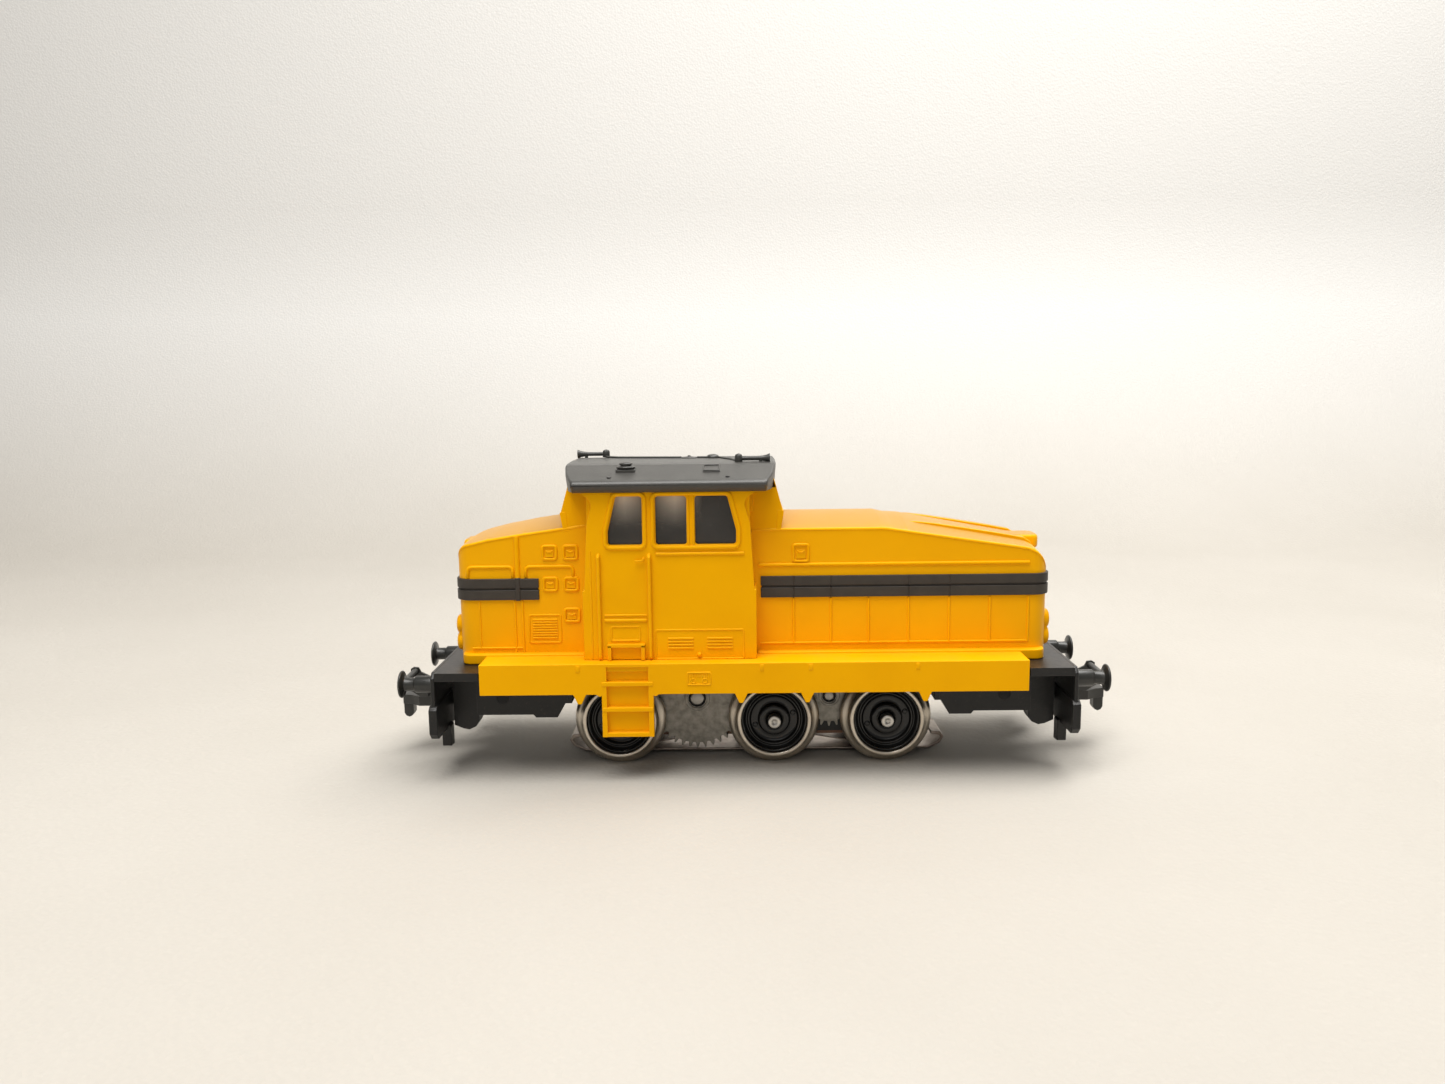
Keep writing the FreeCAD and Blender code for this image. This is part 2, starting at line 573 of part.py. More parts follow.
def walkway(hand_name, hand):
    """Side walkway with its deep skirt, four lugs and the recessed steps."""
    body = new_body("walkway_" + hand_name)

    def across(low, high):
        return (low, high) if hand > 0 else (-high, -low)

    inner = cell.bonnet_half_y + 0.1
    outer = cell.skirt_half_y
    skirt_back = cell.skirt_half_y - cell.skirt_wall
    pad(body, "XZ", box_points(-cell.skirt_half_x, cell.skirt_half_x, cell.deck_top, cell.walk_top),
        *across(inner, outer))
    pad(body, "XZ", box_points(-cell.skirt_half_x, cell.skirt_half_x, cell.skirt_under, cell.walk_top),
        *across(skirt_back, outer))
    for middle in (-26.8, -1.9, 8.3, 26.4):
        lug = [(middle - 0.9, cell.skirt_under + 0.3), (middle - 0.25, cell.skirt_under - 1.4),
               (middle + 0.25, cell.skirt_under - 1.4), (middle + 0.9, cell.skirt_under + 0.3)]
        pad(body, "XZ", lug, *across(skirt_back, outer))
    back = cell.skirt_half_y - cell.ladder_depth
    pad(body, "XZ", box_points(cell.ladder_low_x, cell.ladder_high_x, cell.ladder_under, cell.deck_under),
        *across(back, outer))
    rungs = (cell.ladder_under, cell.ladder_under + 4.0, cell.ladder_under + 8.0)
    heads = (rungs[1], rungs[2], cell.walk_top - 0.5)
    for foot, head in zip(rungs, heads):
        recess = box_points(cell.ladder_low_x + cell.ladder_frame,
                            cell.ladder_high_x - cell.ladder_frame, foot + 0.7, head)
        pocket(body, "XZ", recess, *across(back + 0.8, outer + 1))


# ---------------------------------------------------------------- body shell

def bonnet_section(arris, crown):
    """Cross-section of a bonnet: upright sides, a shoulder and a shallow crown."""
    shoulder = arris + (crown - arris) * 0.37
    base = cell.deck_top
    return [(-cell.bonnet_half_y, base), (cell.bonnet_half_y, base), (cell.bonnet_half_y, arris),
            (cell.shoulder_y, shoulder), (0, crown), (-cell.shoulder_y, shoulder),
            (-cell.bonnet_half_y, arris)]


def body_shell():
    """Both bonnets and the cab in one moulding, open underneath and at the cab roof."""
    body = new_body("body_shell")
    end_x = cell.bonnet_half_x
    long_stations = [(-1.0, 38.7, 40.2), (20.7, 38.7, 40.2), (43.3, 35.3, 36.2),
                     (45.3, 34.1, 34.7), (end_x, 32.2, 32.4)]
    short_stations = [(-25.0, 39.6, 40.6), (-36.6, 38.2, 39.0), (-41.7, 37.4, 37.9),
                      (-45.3, 36.1, 36.3), (-end_x, 34.4, 34.5)]
    for stations in (long_stations, short_stations):
        loft(body, "AdditiveLoft", [(x, bonnet_section(arris, crown)) for x, arris, crown in stations])
    cab = [
        (cell.cab_low_x, cell.walk_top), (cell.cab_low_x, cell.sill_top),
        (cell.cab_low_x + 0.4, cell.sill_top + 0.1), (cell.cab_low_x + 0.86, 39.7),
        (cell.cab_low_x + 1.86, 43.4), (cell.cab_low_x - 0.1, cell.cab_top),
        (cell.cab_high_x + 0.1, cell.cab_top), (cell.cab_high_x - 1.7, 43.4),
        (cell.cab_high_x - 0.5, 39.7), (cell.cab_high_x - 0.1, cell.sill_top + 0.1),
        (cell.cab_high_x, cell.sill_top), (cell.cab_high_x, cell.walk_top)]
    pad(body, "XZ", cab, -cell.cab_half_y, cell.cab_half_y)
    crown = [(cell.crown_low_x + 0.6, 36.0), (cell.crown_low_x, cell.crown_sill),
             (cell.crown_low_x + 1.5, cell.cab_top), (cell.crown_high_x - 1.3, cell.cab_top),
             (cell.crown_high_x, cell.crown_sill), (cell.crown_high_x - 0.6, 36.0)]
    pad(body, "XZ", crown, -cell.crown_half_y, cell.crown_half_y)
    lamps(body)
    hollow_shell(body)
    cut_windows(body)


def lamps(body):
    """Lamp housings: one at the top of each bonnet end and a pair low at each corner."""
    pad(body, "XZ", [(40.5, 35.0), (47.2, 33.9), (47.43, 34.4), (47.43, 35.9), (46.9, 36.2),
                     (41.0, 36.5)], -2.2, 2.2)
    pad(body, "XZ", [(-45.0, 35.2), (-47.2, 35.2), (-47.4, 35.6), (-47.4, 36.9), (-47.0, 37.3),
                     (-44.0, 37.6)], -2.2, 2.2)
    for _, side in ENDS:
        for hand in (1, -1):
            low, high = (45.9, 47.1) if side > 0 else (-47.1, -45.9)
            for lift in (-1.2, 1.2):
                pad(body, "YZ", ((6.6 * hand, 22.6 + lift), 1.5), low, high)


def hollow_shell(body):
    """Empty the moulding, leaving walls about one wall thick."""
    wall = cell.shell_wall
    end_x = cell.bonnet_half_x - wall
    inside = [
        (-end_x, cell.deck_top - 1), (end_x, cell.deck_top - 1), (end_x, 31.8), (42.8, 34.0),
        (20.5, 37.4), (3.6, 37.4), (3.6, cell.crown_sill + 0.3), (2.4, cell.cab_top + 1),
        (-27.2, cell.cab_top + 1), (-28.6, cell.crown_sill + 0.3), (-28.6, 38.0), (-36.4, 36.9),
        (-41.4, 36.2), (-44.6, 34.9), (-end_x, 33.8)]
    pocket(body, "XZ", inside, wall - cell.bonnet_half_y, cell.bonnet_half_y - wall)
    room = [(cell.cab_low_x + wall, cell.walk_top - 1), (cell.cab_high_x - wall, cell.walk_top - 1),
            (cell.cab_high_x - wall, cell.sill_top), (cell.cab_high_x - 1.5, 39.7),
            (cell.cab_high_x - 2.7, 43.2), (cell.cab_high_x - 1.4, cell.cab_top + 1),
            (cell.cab_low_x + 1.2, cell.cab_top + 1), (cell.cab_low_x + 2.9, 43.2),
            (cell.cab_low_x + 1.9, 39.7), (cell.cab_low_x + wall + 0.4, cell.sill_top)]
    pocket(body, "XZ", room, wall - cell.cab_half_y, cell.cab_half_y - wall)


def window_outlines():
    """The three side windows of the cab: a raked one at each end of a square one."""
    sill = cell.window_sill
    head = cell.window_head
    return [
        [(-22.15, sill), (-16.83, sill), (-16.83, head), (-20.8, head), (-22.12, sill + 2.1)],
        box_points(-14.77, -10.0, sill, head),
        [(-8.71, sill), (-2.45, sill), (-2.43, sill + 2.2), (-3.77, head), (-8.71, head)]]


def cut_windows(body):
    """Side windows right through both walls, and two windows in each end of the cab."""
    for outline in window_outlines():
        pocket(body, "XZ", outline, -cell.cab_half_y - 1, cell.cab_half_y + 1)
    for hand in (1, -1):
        low, high = (1.2, 8.4) if hand > 0 else (-8.4, -1.2)
        pocket(body, "YZ", box_points(low, high, cell.crown_sill + 1.4, cell.cab_top - 0.7), -32.0, 7.0)


def glazing():
    """Smoked panes pushed in behind the window openings."""
    inner = cell.cab_half_y - cell.shell_wall - 0.1
    panes = [
        block("pane_left", cell.cab_low_x + 3.2, cell.cab_high_x - 2.8, inner - 0.6, inner,
              cell.window_sill - 0.8, cell.cab_top - 2.0),
        block("pane_right", cell.cab_low_x + 3.2, cell.cab_high_x - 2.8, -inner, -inner + 0.6,
              cell.window_sill - 0.8, cell.cab_top - 2.0)]
    group("side_window_glazing", panes)
    ends = [
        block("pane_front", 1.4, 2.0, -9.0, 9.0, cell.crown_sill + 0.5, cell.cab_top - 0.1),
        block("pane_rear", -26.4, -25.8, -9.0, 9.0, cell.crown_sill + 0.5, cell.cab_top - 0.1)]
    group("end_window_glazing", ends)


def headlamp_lenses():
    """Clear lenses seated in the lamp housings."""
    lenses = []
    for _, side in ENDS:
        top_z = 35.1 if side > 0 else 36.1
        spots = [(47.45, 0.0, top_z, 0.95)]
        spots += [(47.12, 6.6 * hand, 22.6 + lift, 0.95) for hand in (1, -1) for lift in (-1.2, 1.2)]
        for x, y, z, radius in spots:
            start = x if side > 0 else -x - 0.25
            lenses.append(cylinder("lens", radius, 0.25, "X", start, y, z))
    group("headlamp_lenses", lenses)


# ---------------------------------------------------------------- roof

def cab_roof():
    """Folded roof: a flat top, two raked sides, bowed ends and a groove under the front horn."""
    body = new_body("cab_roof")
    section = [
        (-cell.roof_eave_y, cell.cab_top), (cell.roof_eave_y, cell.cab_top),
        (cell.roof_eave_y, cell.cab_top + 0.6), (cell.roof_fold_y, cell.roof_fold_z - 0.3),
        (cell.roof_fold_y - 0.4, cell.roof_fold_z + 0.3), (cell.roof_flat_y, cell.roof_top),
        (-cell.roof_flat_y, cell.roof_top), (-cell.roof_fold_y + 0.4, cell.roof_fold_z + 0.3),
        (-cell.roof_fold_y, cell.roof_fold_z - 0.3), (-cell.roof_eave_y, cell.cab_top + 0.6)]
    pad(body, "YZ", section, cell.roof_low_x, cell.roof_high_x)
    for end_x, inset in ((cell.roof_low_x, 1.6), (cell.roof_high_x, -1.6)):
        for hand in (1, -1):
            corner = [(end_x - inset, (cell.roof_fold_y + 1) * hand),
                      (end_x + inset, (cell.roof_fold_y + 1) * hand),
                      (end_x, cell.roof_flat_y * hand), (end_x - inset, cell.roof_flat_y * hand)]
            pocket(body, "XY", corner, cell.cab_top - 1, cell.roof_top + 1)
    for x, y, foot, head, radius in ((-10.1, 3.0, 48.8, 49.2, 1.4), (-6.15, 3.0, 48.8, 49.5, 1.05),
                                     (-19.4, -10.5, 47.2, 48.7, 1.6), (-19.4, -10.5, 47.2, 49.3, 1.0)):
        pad(body, "XY", ((x, y), radius), foot, head)
    pad(body, "XY", box_points(-7.4, -4.85, -12.0, -9.5), 47.0, 48.4)
    pocket(body, "YZ", box_points(-6.95, -5.05, 48.55, 50.0), 0.9, 5.0)


def horn(name, side, y, mouth_x, knob_x):
    """Signal horn lying along the roof: a flared mouth, a tube and a capped foot."""
    lift = 0.5 if side < 0 else 0.45
    length = (mouth_x - knob_x) * side
    start = knob_x if side > 0 else mouth_x
    tube = cylinder("horn_tube", 0.35, length, "X", start, y, cell.roof_top + lift)
    flare = doc.addObject("Part::Cone", "horn_flare")
    bind(flare, "Radius1", 0.35)
    bind(flare, "Radius2", 0.75)
    bind(flare, "Height", 1.8)
    flare.Placement = FreeCAD.Placement(
        FreeCAD.Vector(), FreeCAD.Rotation(FreeCAD.Vector(0, 1, 0), 90 * side))
    place(flare, mouth_x - 1.8 * side, y, cell.roof_top + lift)
    knob = cylinder("horn_knob", 0.6, 1.3, "Z", knob_x, y, cell.roof_top)
    foot = block("horn_foot", mouth_x - 1.4 * side - 0.2, mouth_x - 1.4 * side + 0.2, y - 0.3, y + 0.3,
                 cell.roof_top, cell.roof_top + lift)
    fused("horn_" + name, [tube, flare, knob, foot])


# ---------------------------------------------------------------- motor and electrics

def motor():
    """Open-frame motor: field magnet and coil, end shield, brushes, armature and commutator."""
    field = new_body("field_magnet")
    pad(field, "XZ", box_points(cell.rotor_x - 9.3, cell.rotor_x + 9.3, 13.2, 30.0), -0.9, 3.4)
    pocket(field, "XZ", ((cell.rotor_x, cell.rotor_z), 7.8), -2.0, 5.0)
    coil = new_body("field_coil")
    pad(coil, "YZ", box_points(-2.2, 4.7, 26.6 + 0.9, 32.0), cell.rotor_x - 5.0, cell.rotor_x + 5.0)
    pocket(coil, "YZ", box_points(-0.9, 3.4, 27.0, 30.0), cell.rotor_x - 6.0, cell.rotor_x + 6.0)
    shield = new_body("motor_shield")
    pad(shield, "XZ", box_points(cell.rotor_x - 9.0, cell.rotor_x + 9.0, 15.2, 26.0), 5.4, 6.6)
    pad(shield, "XZ", ((cell.rotor_x, cell.rotor_z), 2.2), 6.5, 7.6)
    pocket(shield, "XZ", ((cell.rotor_x, cell.rotor_z), 0.8), 5.0, 9.0)
    armature = new_body("armature")
    pad(armature, "XZ", ((cell.rotor_x, cell.rotor_z), 7.5), -0.7, 3.2)
    for step in range(3):
        angle = math.radians(30 + 120 * step)
        slot_x = cell.rotor_x + 7.0 * math.cos(angle)
        slot_z = cell.rotor_z + 7.0 * math.sin(angle)
        pocket(armature, "XZ", ((slot_x, slot_z), 1.5), -1.0, 4.0)
    pocket(armature, "XZ", ((cell.rotor_x, cell.rotor_z), 0.75), -1.0, 4.0)
    commutator = new_body("commutator")
    pad(commutator, "XZ", ((cell.rotor_x, cell.rotor_z), 3.0), 3.25, 5.1)
    pocket(commutator, "XZ", ((cell.rotor_x, cell.rotor_z), 0.75), 3.0, 6.0)
    keep(cylinder("motor_shaft", 0.75, 14.6, "Y", cell.rotor_x, -6.8, cell.rotor_z), "motor_shaft")
    for label, side in (("carbon_brush", 1), ("copper_brush", -1)):
        start = cell.rotor_x + (3.05 if side > 0 else -6.6)
        keep(cylinder(label, 0.75, 3.55, "X", start, 4.4, cell.rotor_z), label)


def reverser():
    """Reversing relay in the long bonnet: a bent frame, its coil and a fibre contact plate."""
    frame = new_body("reverser_frame")
    pad(frame, "XZ", [(14.0, 17.55), (34.0, 17.55), (34.0, 29.5), (33.0, 29.5), (33.0, 18.6),
                      (15.0, 18.6), (15.0, 29.5), (14.0, 29.5)], -5.0, 5.0)
    fused("reverser_coil", [cylinder("winding", 4.2, 12.0, "X", 18.5, 0.0, 24.0),
                            cylinder("core", 1.2, 17.8, "X", 15.1, 0.0, 24.0)])
    keep(block("contact_plate", 35.0, 36.0, -5.5, 5.5, 17.6, 30.0), "contact_plate")


def bulbs():
    """Headlamp bulbs, each a glass envelope on a metal cap held in a stamped holder."""
    places = [40.5 * side for _, side in ENDS]
    group("bulb_caps", [cylinder("cap", 1.4, 4.0, "Z", x, 0.0, 19.6) for x in places])
    group("bulb_glasses", [cylinder("glass", 1.3, 4.5, "Z", x, 0.0, 23.65) for x in places])
    group("bulb_holders", [block("holder", x - 2.2, x + 2.2, -4.0, 4.0, 17.55, 19.55) for x in places])


# ---------------------------------------------------------------- current collector

def current_collector():
    """Sliding shoe with turned-up ends, its leaf spring and the insulating plate above it."""
    shoe = new_body("slider_shoe")
    under = cell.shoe_under
    top = cell.shoe_under + cell.shoe_thick
    low = cell.shoe_low_x
    high = cell.shoe_high_x
    outline = [
        (low + 2.6, under), (high - 2.6, under), (high - 0.6, under + 1.0), (high, under + 2.0),
        (high - 0.6, cell.shoe_end_z), (high - 2.2, cell.shoe_end_z + 0.1),
        (high - 2.2, cell.shoe_end_z - 0.4),
        (high - 0.9, cell.shoe_end_z - 0.6), (high - 0.5, under + 2.0), (high - 1.0, under + 1.3),
        (high - 2.8, top), (low + 2.8, top), (low + 1.0, under + 1.3), (low + 0.5, under + 2.0),
        (low + 0.9, cell.shoe_end_z - 0.6), (low + 2.2, cell.shoe_end_z - 0.4),
        (low + 2.2, cell.shoe_end_z + 0.1),
        (low + 0.6, cell.shoe_end_z), (low, under + 2.0), (low + 0.6, under + 1.0)]
    pad(shoe, "XZ", outline, -cell.shoe_half_y, cell.shoe_half_y)
    spring = new_body("slider_spring")
    mid = cell.insulator_under
    leaf = [(-20.0, top), (-18.0, top), (-4.0, mid - 0.25), (4.0, mid - 0.25), (18.0, top), (20.0, top),
            (20.0, top + 0.2), (18.0, top + 0.2), (4.0, mid - 0.02), (-4.0, mid - 0.02), (-18.0, top + 0.2),
            (-20.0, top + 0.2)]
    pad(spring, "XZ", leaf, -1.5, 1.5)
    plate = new_body("slider_insulator")
    pad(plate, "XZ", box_points(-cell.block_half_x + 1.2, cell.block_half_x - 1.2, mid, cell.block_under),
        -cell.block_half_y + 0.4, cell.block_half_y - 0.4)


def main():
    gear_train()
    for number, axle_x in enumerate((cell.axle_one_x, cell.axle_two_x, cell.axle_three_x), start=1):
        wheelset(number, axle_x)
    chassis_frame()
    for name, side in ENDS:
        end_beam(name, side)
        coupler(name, side)
        coupler_loop(name, side)
        for hand_name, hand in (("left", 1), ("right", -1)):
            buffer(f"buffer_{name}_{hand_name}", side, hand)
    pins()
    for hand_name, hand in (("left", 1), ("right", -1)):
        walkway(hand_name, hand)
    body_shell()
    glazing()
    headlamp_lenses()
    cab_roof()
    horn("front", 1, -6.0, 3.1, -1.9)
    horn("rear", -1, 8.0, -29.4, -24.5)
    motor()
    reverser()
    bulbs()
    current_collector()
    doc.recompute()
    write_steps()


def write_steps():
    """Check every object and every sub-part, then write one STEP file for each sub-part."""
    for item in doc.Objects:
        if "Invalid" in item.State or "Error" in item.State:
            raise RuntimeError(f"{item.Label} failed to build")
    os.makedirs("parts", exist_ok=True)
    for piece in pieces:
        if piece.Shape.isNull() or not piece.Shape.isValid():
            raise RuntimeError(f"{piece.Label} has no valid shape")
        piece.Shape.exportStep(f"parts/{piece.Label}.step")
        box = piece.Shape.BoundBox
        print(f"{piece.Label:26s} solids {len(piece.Shape.Solids)}  volume {piece.Shape.Volume:9.2f}"
              f"  X {box.XMin:7.2f} {box.XMax:7.2f}  Y {box.YMin:7.2f} {box.YMax:7.2f}"
              f"  Z {box.ZMin:6.2f} {box.ZMax:6.2f}")


main()
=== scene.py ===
import math

import bmesh
import bpy
from mathutils import Matrix, Vector


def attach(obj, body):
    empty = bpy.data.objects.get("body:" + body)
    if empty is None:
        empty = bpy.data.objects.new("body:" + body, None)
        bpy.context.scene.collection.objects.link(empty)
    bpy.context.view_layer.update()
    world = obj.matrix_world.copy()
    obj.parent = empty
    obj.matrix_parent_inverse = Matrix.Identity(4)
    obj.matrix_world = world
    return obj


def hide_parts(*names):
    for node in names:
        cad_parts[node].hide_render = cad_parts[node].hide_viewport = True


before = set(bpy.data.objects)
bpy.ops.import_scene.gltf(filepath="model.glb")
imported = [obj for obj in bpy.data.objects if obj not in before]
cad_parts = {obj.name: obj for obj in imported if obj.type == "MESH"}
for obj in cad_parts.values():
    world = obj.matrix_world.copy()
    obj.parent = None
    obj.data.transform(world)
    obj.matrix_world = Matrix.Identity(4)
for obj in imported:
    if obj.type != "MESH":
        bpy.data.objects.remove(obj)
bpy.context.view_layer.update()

mm = 0.001
scene = bpy.context.scene
hands = (1, -1)
leftRight = (("left", 1), ("right", -1))
frontRear = (("front", 1), ("rear", -1))
print("frame loaded")


def newObject(name, data):
    made = bpy.data.objects.new(name, data)
    scene.collection.objects.link(made)
    return made


# camera: stands in front of the right-hand side, a little above the roof

camera = {
    "place": (-2.56, -183.84, 62.26),
    "yaw": -0.663,
    "pitch": 8.401,
    "roll": -0.724,
    "lens": 27.90,
    "sensor": 36.0,
}


def makeCamera():
    yaw, pitch, roll = (math.radians(camera[key]) for key in ("yaw", "pitch", "roll"))
    ahead = Vector((math.sin(yaw) * math.cos(pitch), math.cos(yaw) * math.cos(pitch), -math.sin(pitch)))
    across = Vector((math.cos(yaw), -math.sin(yaw), 0.0))
    upward = across.cross(ahead)
    right = across * math.cos(roll) + upward * math.sin(roll)
    top = upward * math.cos(roll) - across * math.sin(roll)
    data = bpy.data.cameras.new("studioCamera")
    data.lens = camera["lens"]
    data.sensor_width = camera["sensor"]
    data.clip_start = 0.01
    data.clip_end = 20.0
    viewer = newObject("studioCamera", data)
    turn = Matrix((right, top, -ahead)).transposed().to_4x4()
    viewer.matrix_world = Matrix.Translation(Vector(camera["place"]) * mm) @ turn
    scene.camera = viewer


makeCamera()
scene.view_settings.view_transform = "Standard"

# shape helpers: outlines are in millimetres, solids are gathered in one bmesh per piece


def roundedPath(corners, radius, steps=4, closed=True):
    made = []  # a corner may carry its own radius as a third number
    count = len(corners)
    for index, corner in enumerate(corners):
        here = Vector(corner[:2])
        own = corner[2] if len(corner) > 2 else radius
        if own <= 0 or (not closed and index in (0, count - 1)):
            made.append(here)
            continue
        back = Vector(corners[index - 1][:2]) - here
        ahead = Vector(corners[(index + 1) % count][:2]) - here
        half = back.angle(ahead) / 2
        if half > math.radians(89.5):
            made.append(here)
            continue
        reach = min(own / math.tan(half), 0.49 * back.length, 0.49 * ahead.length)
        own = reach * math.tan(half)
        middle = here + (back.normalized() + ahead.normalized()).normalized() * (own / math.sin(half))
        first = here + back.normalized() * reach - middle
        last = here + ahead.normalized() * reach - middle
        start = math.atan2(first.y, first.x)
        sweep = (math.atan2(last.y, last.x) - start + math.pi) % (2 * math.pi) - math.pi
        for step in range(steps + 1):
            angle = start + sweep * step / steps
            made.append(middle + Vector((math.cos(angle), math.sin(angle))) * own)
    return made


def rect(xLow, xHigh, yLow, yHigh):
    return [(xLow, yLow), (xHigh, yLow), (xHigh, yHigh), (xLow, yHigh)]


def sided(hand, first, second):
    # a span across the width, low end first, on the side that hand gives
    return sorted((first * hand, second * hand))


def through(edge, hand, inward, outward):
    # a span through a wall whose outer face is at edge
    return sorted((edge - inward * hand, edge + outward * hand))


def profileAlong(profile, side):
    return [(radius, along * side) for radius, along in profile]


def lifted(plane, u, v, w):
    if plane == "XZ":
        return Vector((u, w, v))
    if plane == "YZ":
        return Vector((w, u, v))
    return Vector((u, v, w))


def addPrism(bm, outline, plane, low, high):
    addLoft(bm, [[lifted(plane, point[0], point[1], level) for point in outline] for level in (low, high)])


def joinRings(bm, rings, closed=False):
    # walls between rings of vertices, with a cap at both ends unless the run is closed
    count = len(rings[0])
    for lower, upper in zip(rings, rings[1:] + rings[:1] if closed else rings[1:]):
        for index in range(count):
            following = (index + 1) % count
            bm.faces.new((lower[index], lower[following], upper[following], upper[index]))
    if not closed:
        bm.faces.new(rings[0][::-1])
        bm.faces.new(rings[-1])


def addLoft(bm, sections):
    joinRings(bm, [[bm.verts.new(point) for point in section] for section in sections])


def addTurned(bm, profile, axis, centre, sides=48):
    rings = []  # profile points are (radius, distance along the axis)
    for step in range(sides):
        angle = 2 * math.pi * step / sides
        ring = []
        for radius, along in profile:
            a = radius * math.cos(angle)
            b = radius * math.sin(angle)
            offset = {"X": (along, a, b), "Y": (a, along, b), "Z": (a, b, along)}[axis]
            ring.append(bm.verts.new(Vector(centre) + Vector(offset)))
        rings.append(ring)
    for step in range(sides):
        first = rings[step]
        second = rings[(step + 1) % sides]
        for index in range(len(profile) - 1):
            bm.faces.new((first[index], first[index + 1], second[index + 1], second[index]))
    bmesh.ops.remove_doubles(bm, verts=[vert for ring in rings for vert in ring], dist=1e-5)


def addTube(bm, points, radius, sides=10, closed=False):
    path = [Vector(point) for point in points]
    count = len(path)
    rings = []
    previous = None
    for index, point in enumerate(path):
        if closed:
            ahead = path[(index + 1) % count] - path[index - 1]
        else:
            ahead = path[min(index + 1, count - 1)] - path[max(index - 1, 0)]
        ahead.normalize()
        side = ahead.orthogonal().normalized() if previous is None else (
            previous - ahead * previous.dot(ahead)).normalized()
        previous = side
        other = ahead.cross(side)
        rings.append([bm.verts.new(point + (side * math.cos(a) + other * math.sin(a)) * radius)
                      for a in (2 * math.pi * step / sides for step in range(sides))])
    joinRings(bm, rings, closed)


def addBead(bm, outline, edge, radius, sides=10):
    # a closed round bead along an outline on an upright wall
    addTube(bm, [(point[0], edge, point[1]) for point in outline], radius, sides, True)


def showPiece(piece, body, replaces):
    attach(piece, body)
    if replaces:
        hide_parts(*replaces)
    return piece


def softenEdges(piece, width, segments, limit=32):
    if width > 0:
        bevel = piece.modifiers.new("bevel", "BEVEL")
        bevel.width = width * mm
        bevel.segments = segments
        bevel.limit_method = "ANGLE"
        bevel.angle_limit = math.radians(limit)
        bevel.use_clamp_overlap = True
    weighted = piece.modifiers.new("weighted", "WEIGHTED_NORMAL")
    weighted.keep_sharp = True


def smoothMesh(name, bm, look):
    mesh = bpy.data.meshes.new(name)
    bm.to_mesh(mesh)
    bm.free()
    mesh.polygons.foreach_set("use_smooth", [True] * len(mesh.polygons))
    mesh.materials.append(look)
    return mesh


def makePiece(name, bm, look, body="chassis", bevel=0.1, segments=2, replaces=()):
    bmesh.ops.recalc_face_normals(bm, faces=bm.faces)
    bm.transform(Matrix.Scale(mm, 4))
    piece = newObject(name, smoothMesh(name, bm, look))
    softenEdges(piece, bevel, segments)
    return showPiece(piece, body, replaces)


def roundedCopy(name, node, look, body="chassis", bevel=0.12, segments=2, extra=None):
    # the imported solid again, with its edges broken
    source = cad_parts[node].data
    bm = bmesh.new()
    bm.from_mesh(source)
    bmesh.ops.remove_doubles(bm, verts=bm.verts, dist=2e-7)
    bm.transform(Matrix.Scale(1 / mm, 4))
    bmesh.ops.dissolve_limit(bm, angle_limit=math.radians(1.0), verts=bm.verts, edges=bm.edges)
    if extra:
        extra(bm)
    return makePiece(name, bm, look, body, bevel, segments, (node,))


def finalMesh(source):
    graph = bpy.context.evaluated_depsgraph_get()
    graph.update()
    return bpy.data.meshes.new_from_object(source.evaluated_get(graph), depsgraph=graph)


# shader groups: each effect is built once and used by several materials


def newGroup(name, inputs, outputs):
    tree = bpy.data.node_groups.new(name, "ShaderNodeTree")
    for label, kind, value in inputs:
        socket = tree.interface.new_socket(label, in_out="INPUT", socket_type="NodeSocket" + kind)
        socket.default_value = value
    for label, kind in outputs:
        tree.interface.new_socket(label, in_out="OUTPUT", socket_type="NodeSocket" + kind)
    return tree, tree.nodes.new("NodeGroupInput"), tree.nodes.new("NodeGroupOutput")


def addNode(tree, kind, **settings):
    node = tree.nodes.new("ShaderNode" + kind)
    for key, value in settings.items():
        setattr(node, key, value)
    return node


def feed(tree, node, values):
    # an input takes a link where the value is a socket, and else its own number or colour
    for key, value in values.items():
        if isinstance(value, bpy.types.NodeSocket):
            tree.links.new(value, node.inputs[key])
        else:
            node.inputs[key].default_value = value
    return node.outputs


def maths(tree, operation, first, second):
    return feed(tree, addNode(tree, "Math", operation=operation), {0: first, 1: second})[0]


def vectorMaths(tree, operation, *values):
    return feed(tree, addNode(tree, "VectorMath", operation=operation), dict(enumerate(values)))


def mapRange(tree, value, low, high, toLow=0.0, toHigh=1.0):
    return feed(tree, addNode(tree, "MapRange"), {
        "Value": value, "From Min": low, "From Max": high, "To Min": toLow, "To Max": toHigh})[0]


def mixColour(tree, share, first, second):
    return feed(tree, addNode(tree, "Mix", data_type="RGBA"), {0: share, 6: first, 7: second})[2]


def noiseAt(tree, place, scale, detail=3.0, rough=0.55):
    return feed(tree, addNode(tree, "TexNoise"), {
        "Vector": place, "Scale": scale, "Detail": detail, "Roughness": rough})["Fac"]


def objectPlace(tree):
    return addNode(tree, "TexCoord").outputs["Object"]


def faceNormal(tree):
    return addNode(tree, "NewGeometry").outputs["Normal"]


def splitAxes(tree, vector):
    return feed(tree, addNode(tree, "SeparateXYZ"), {0: vector})


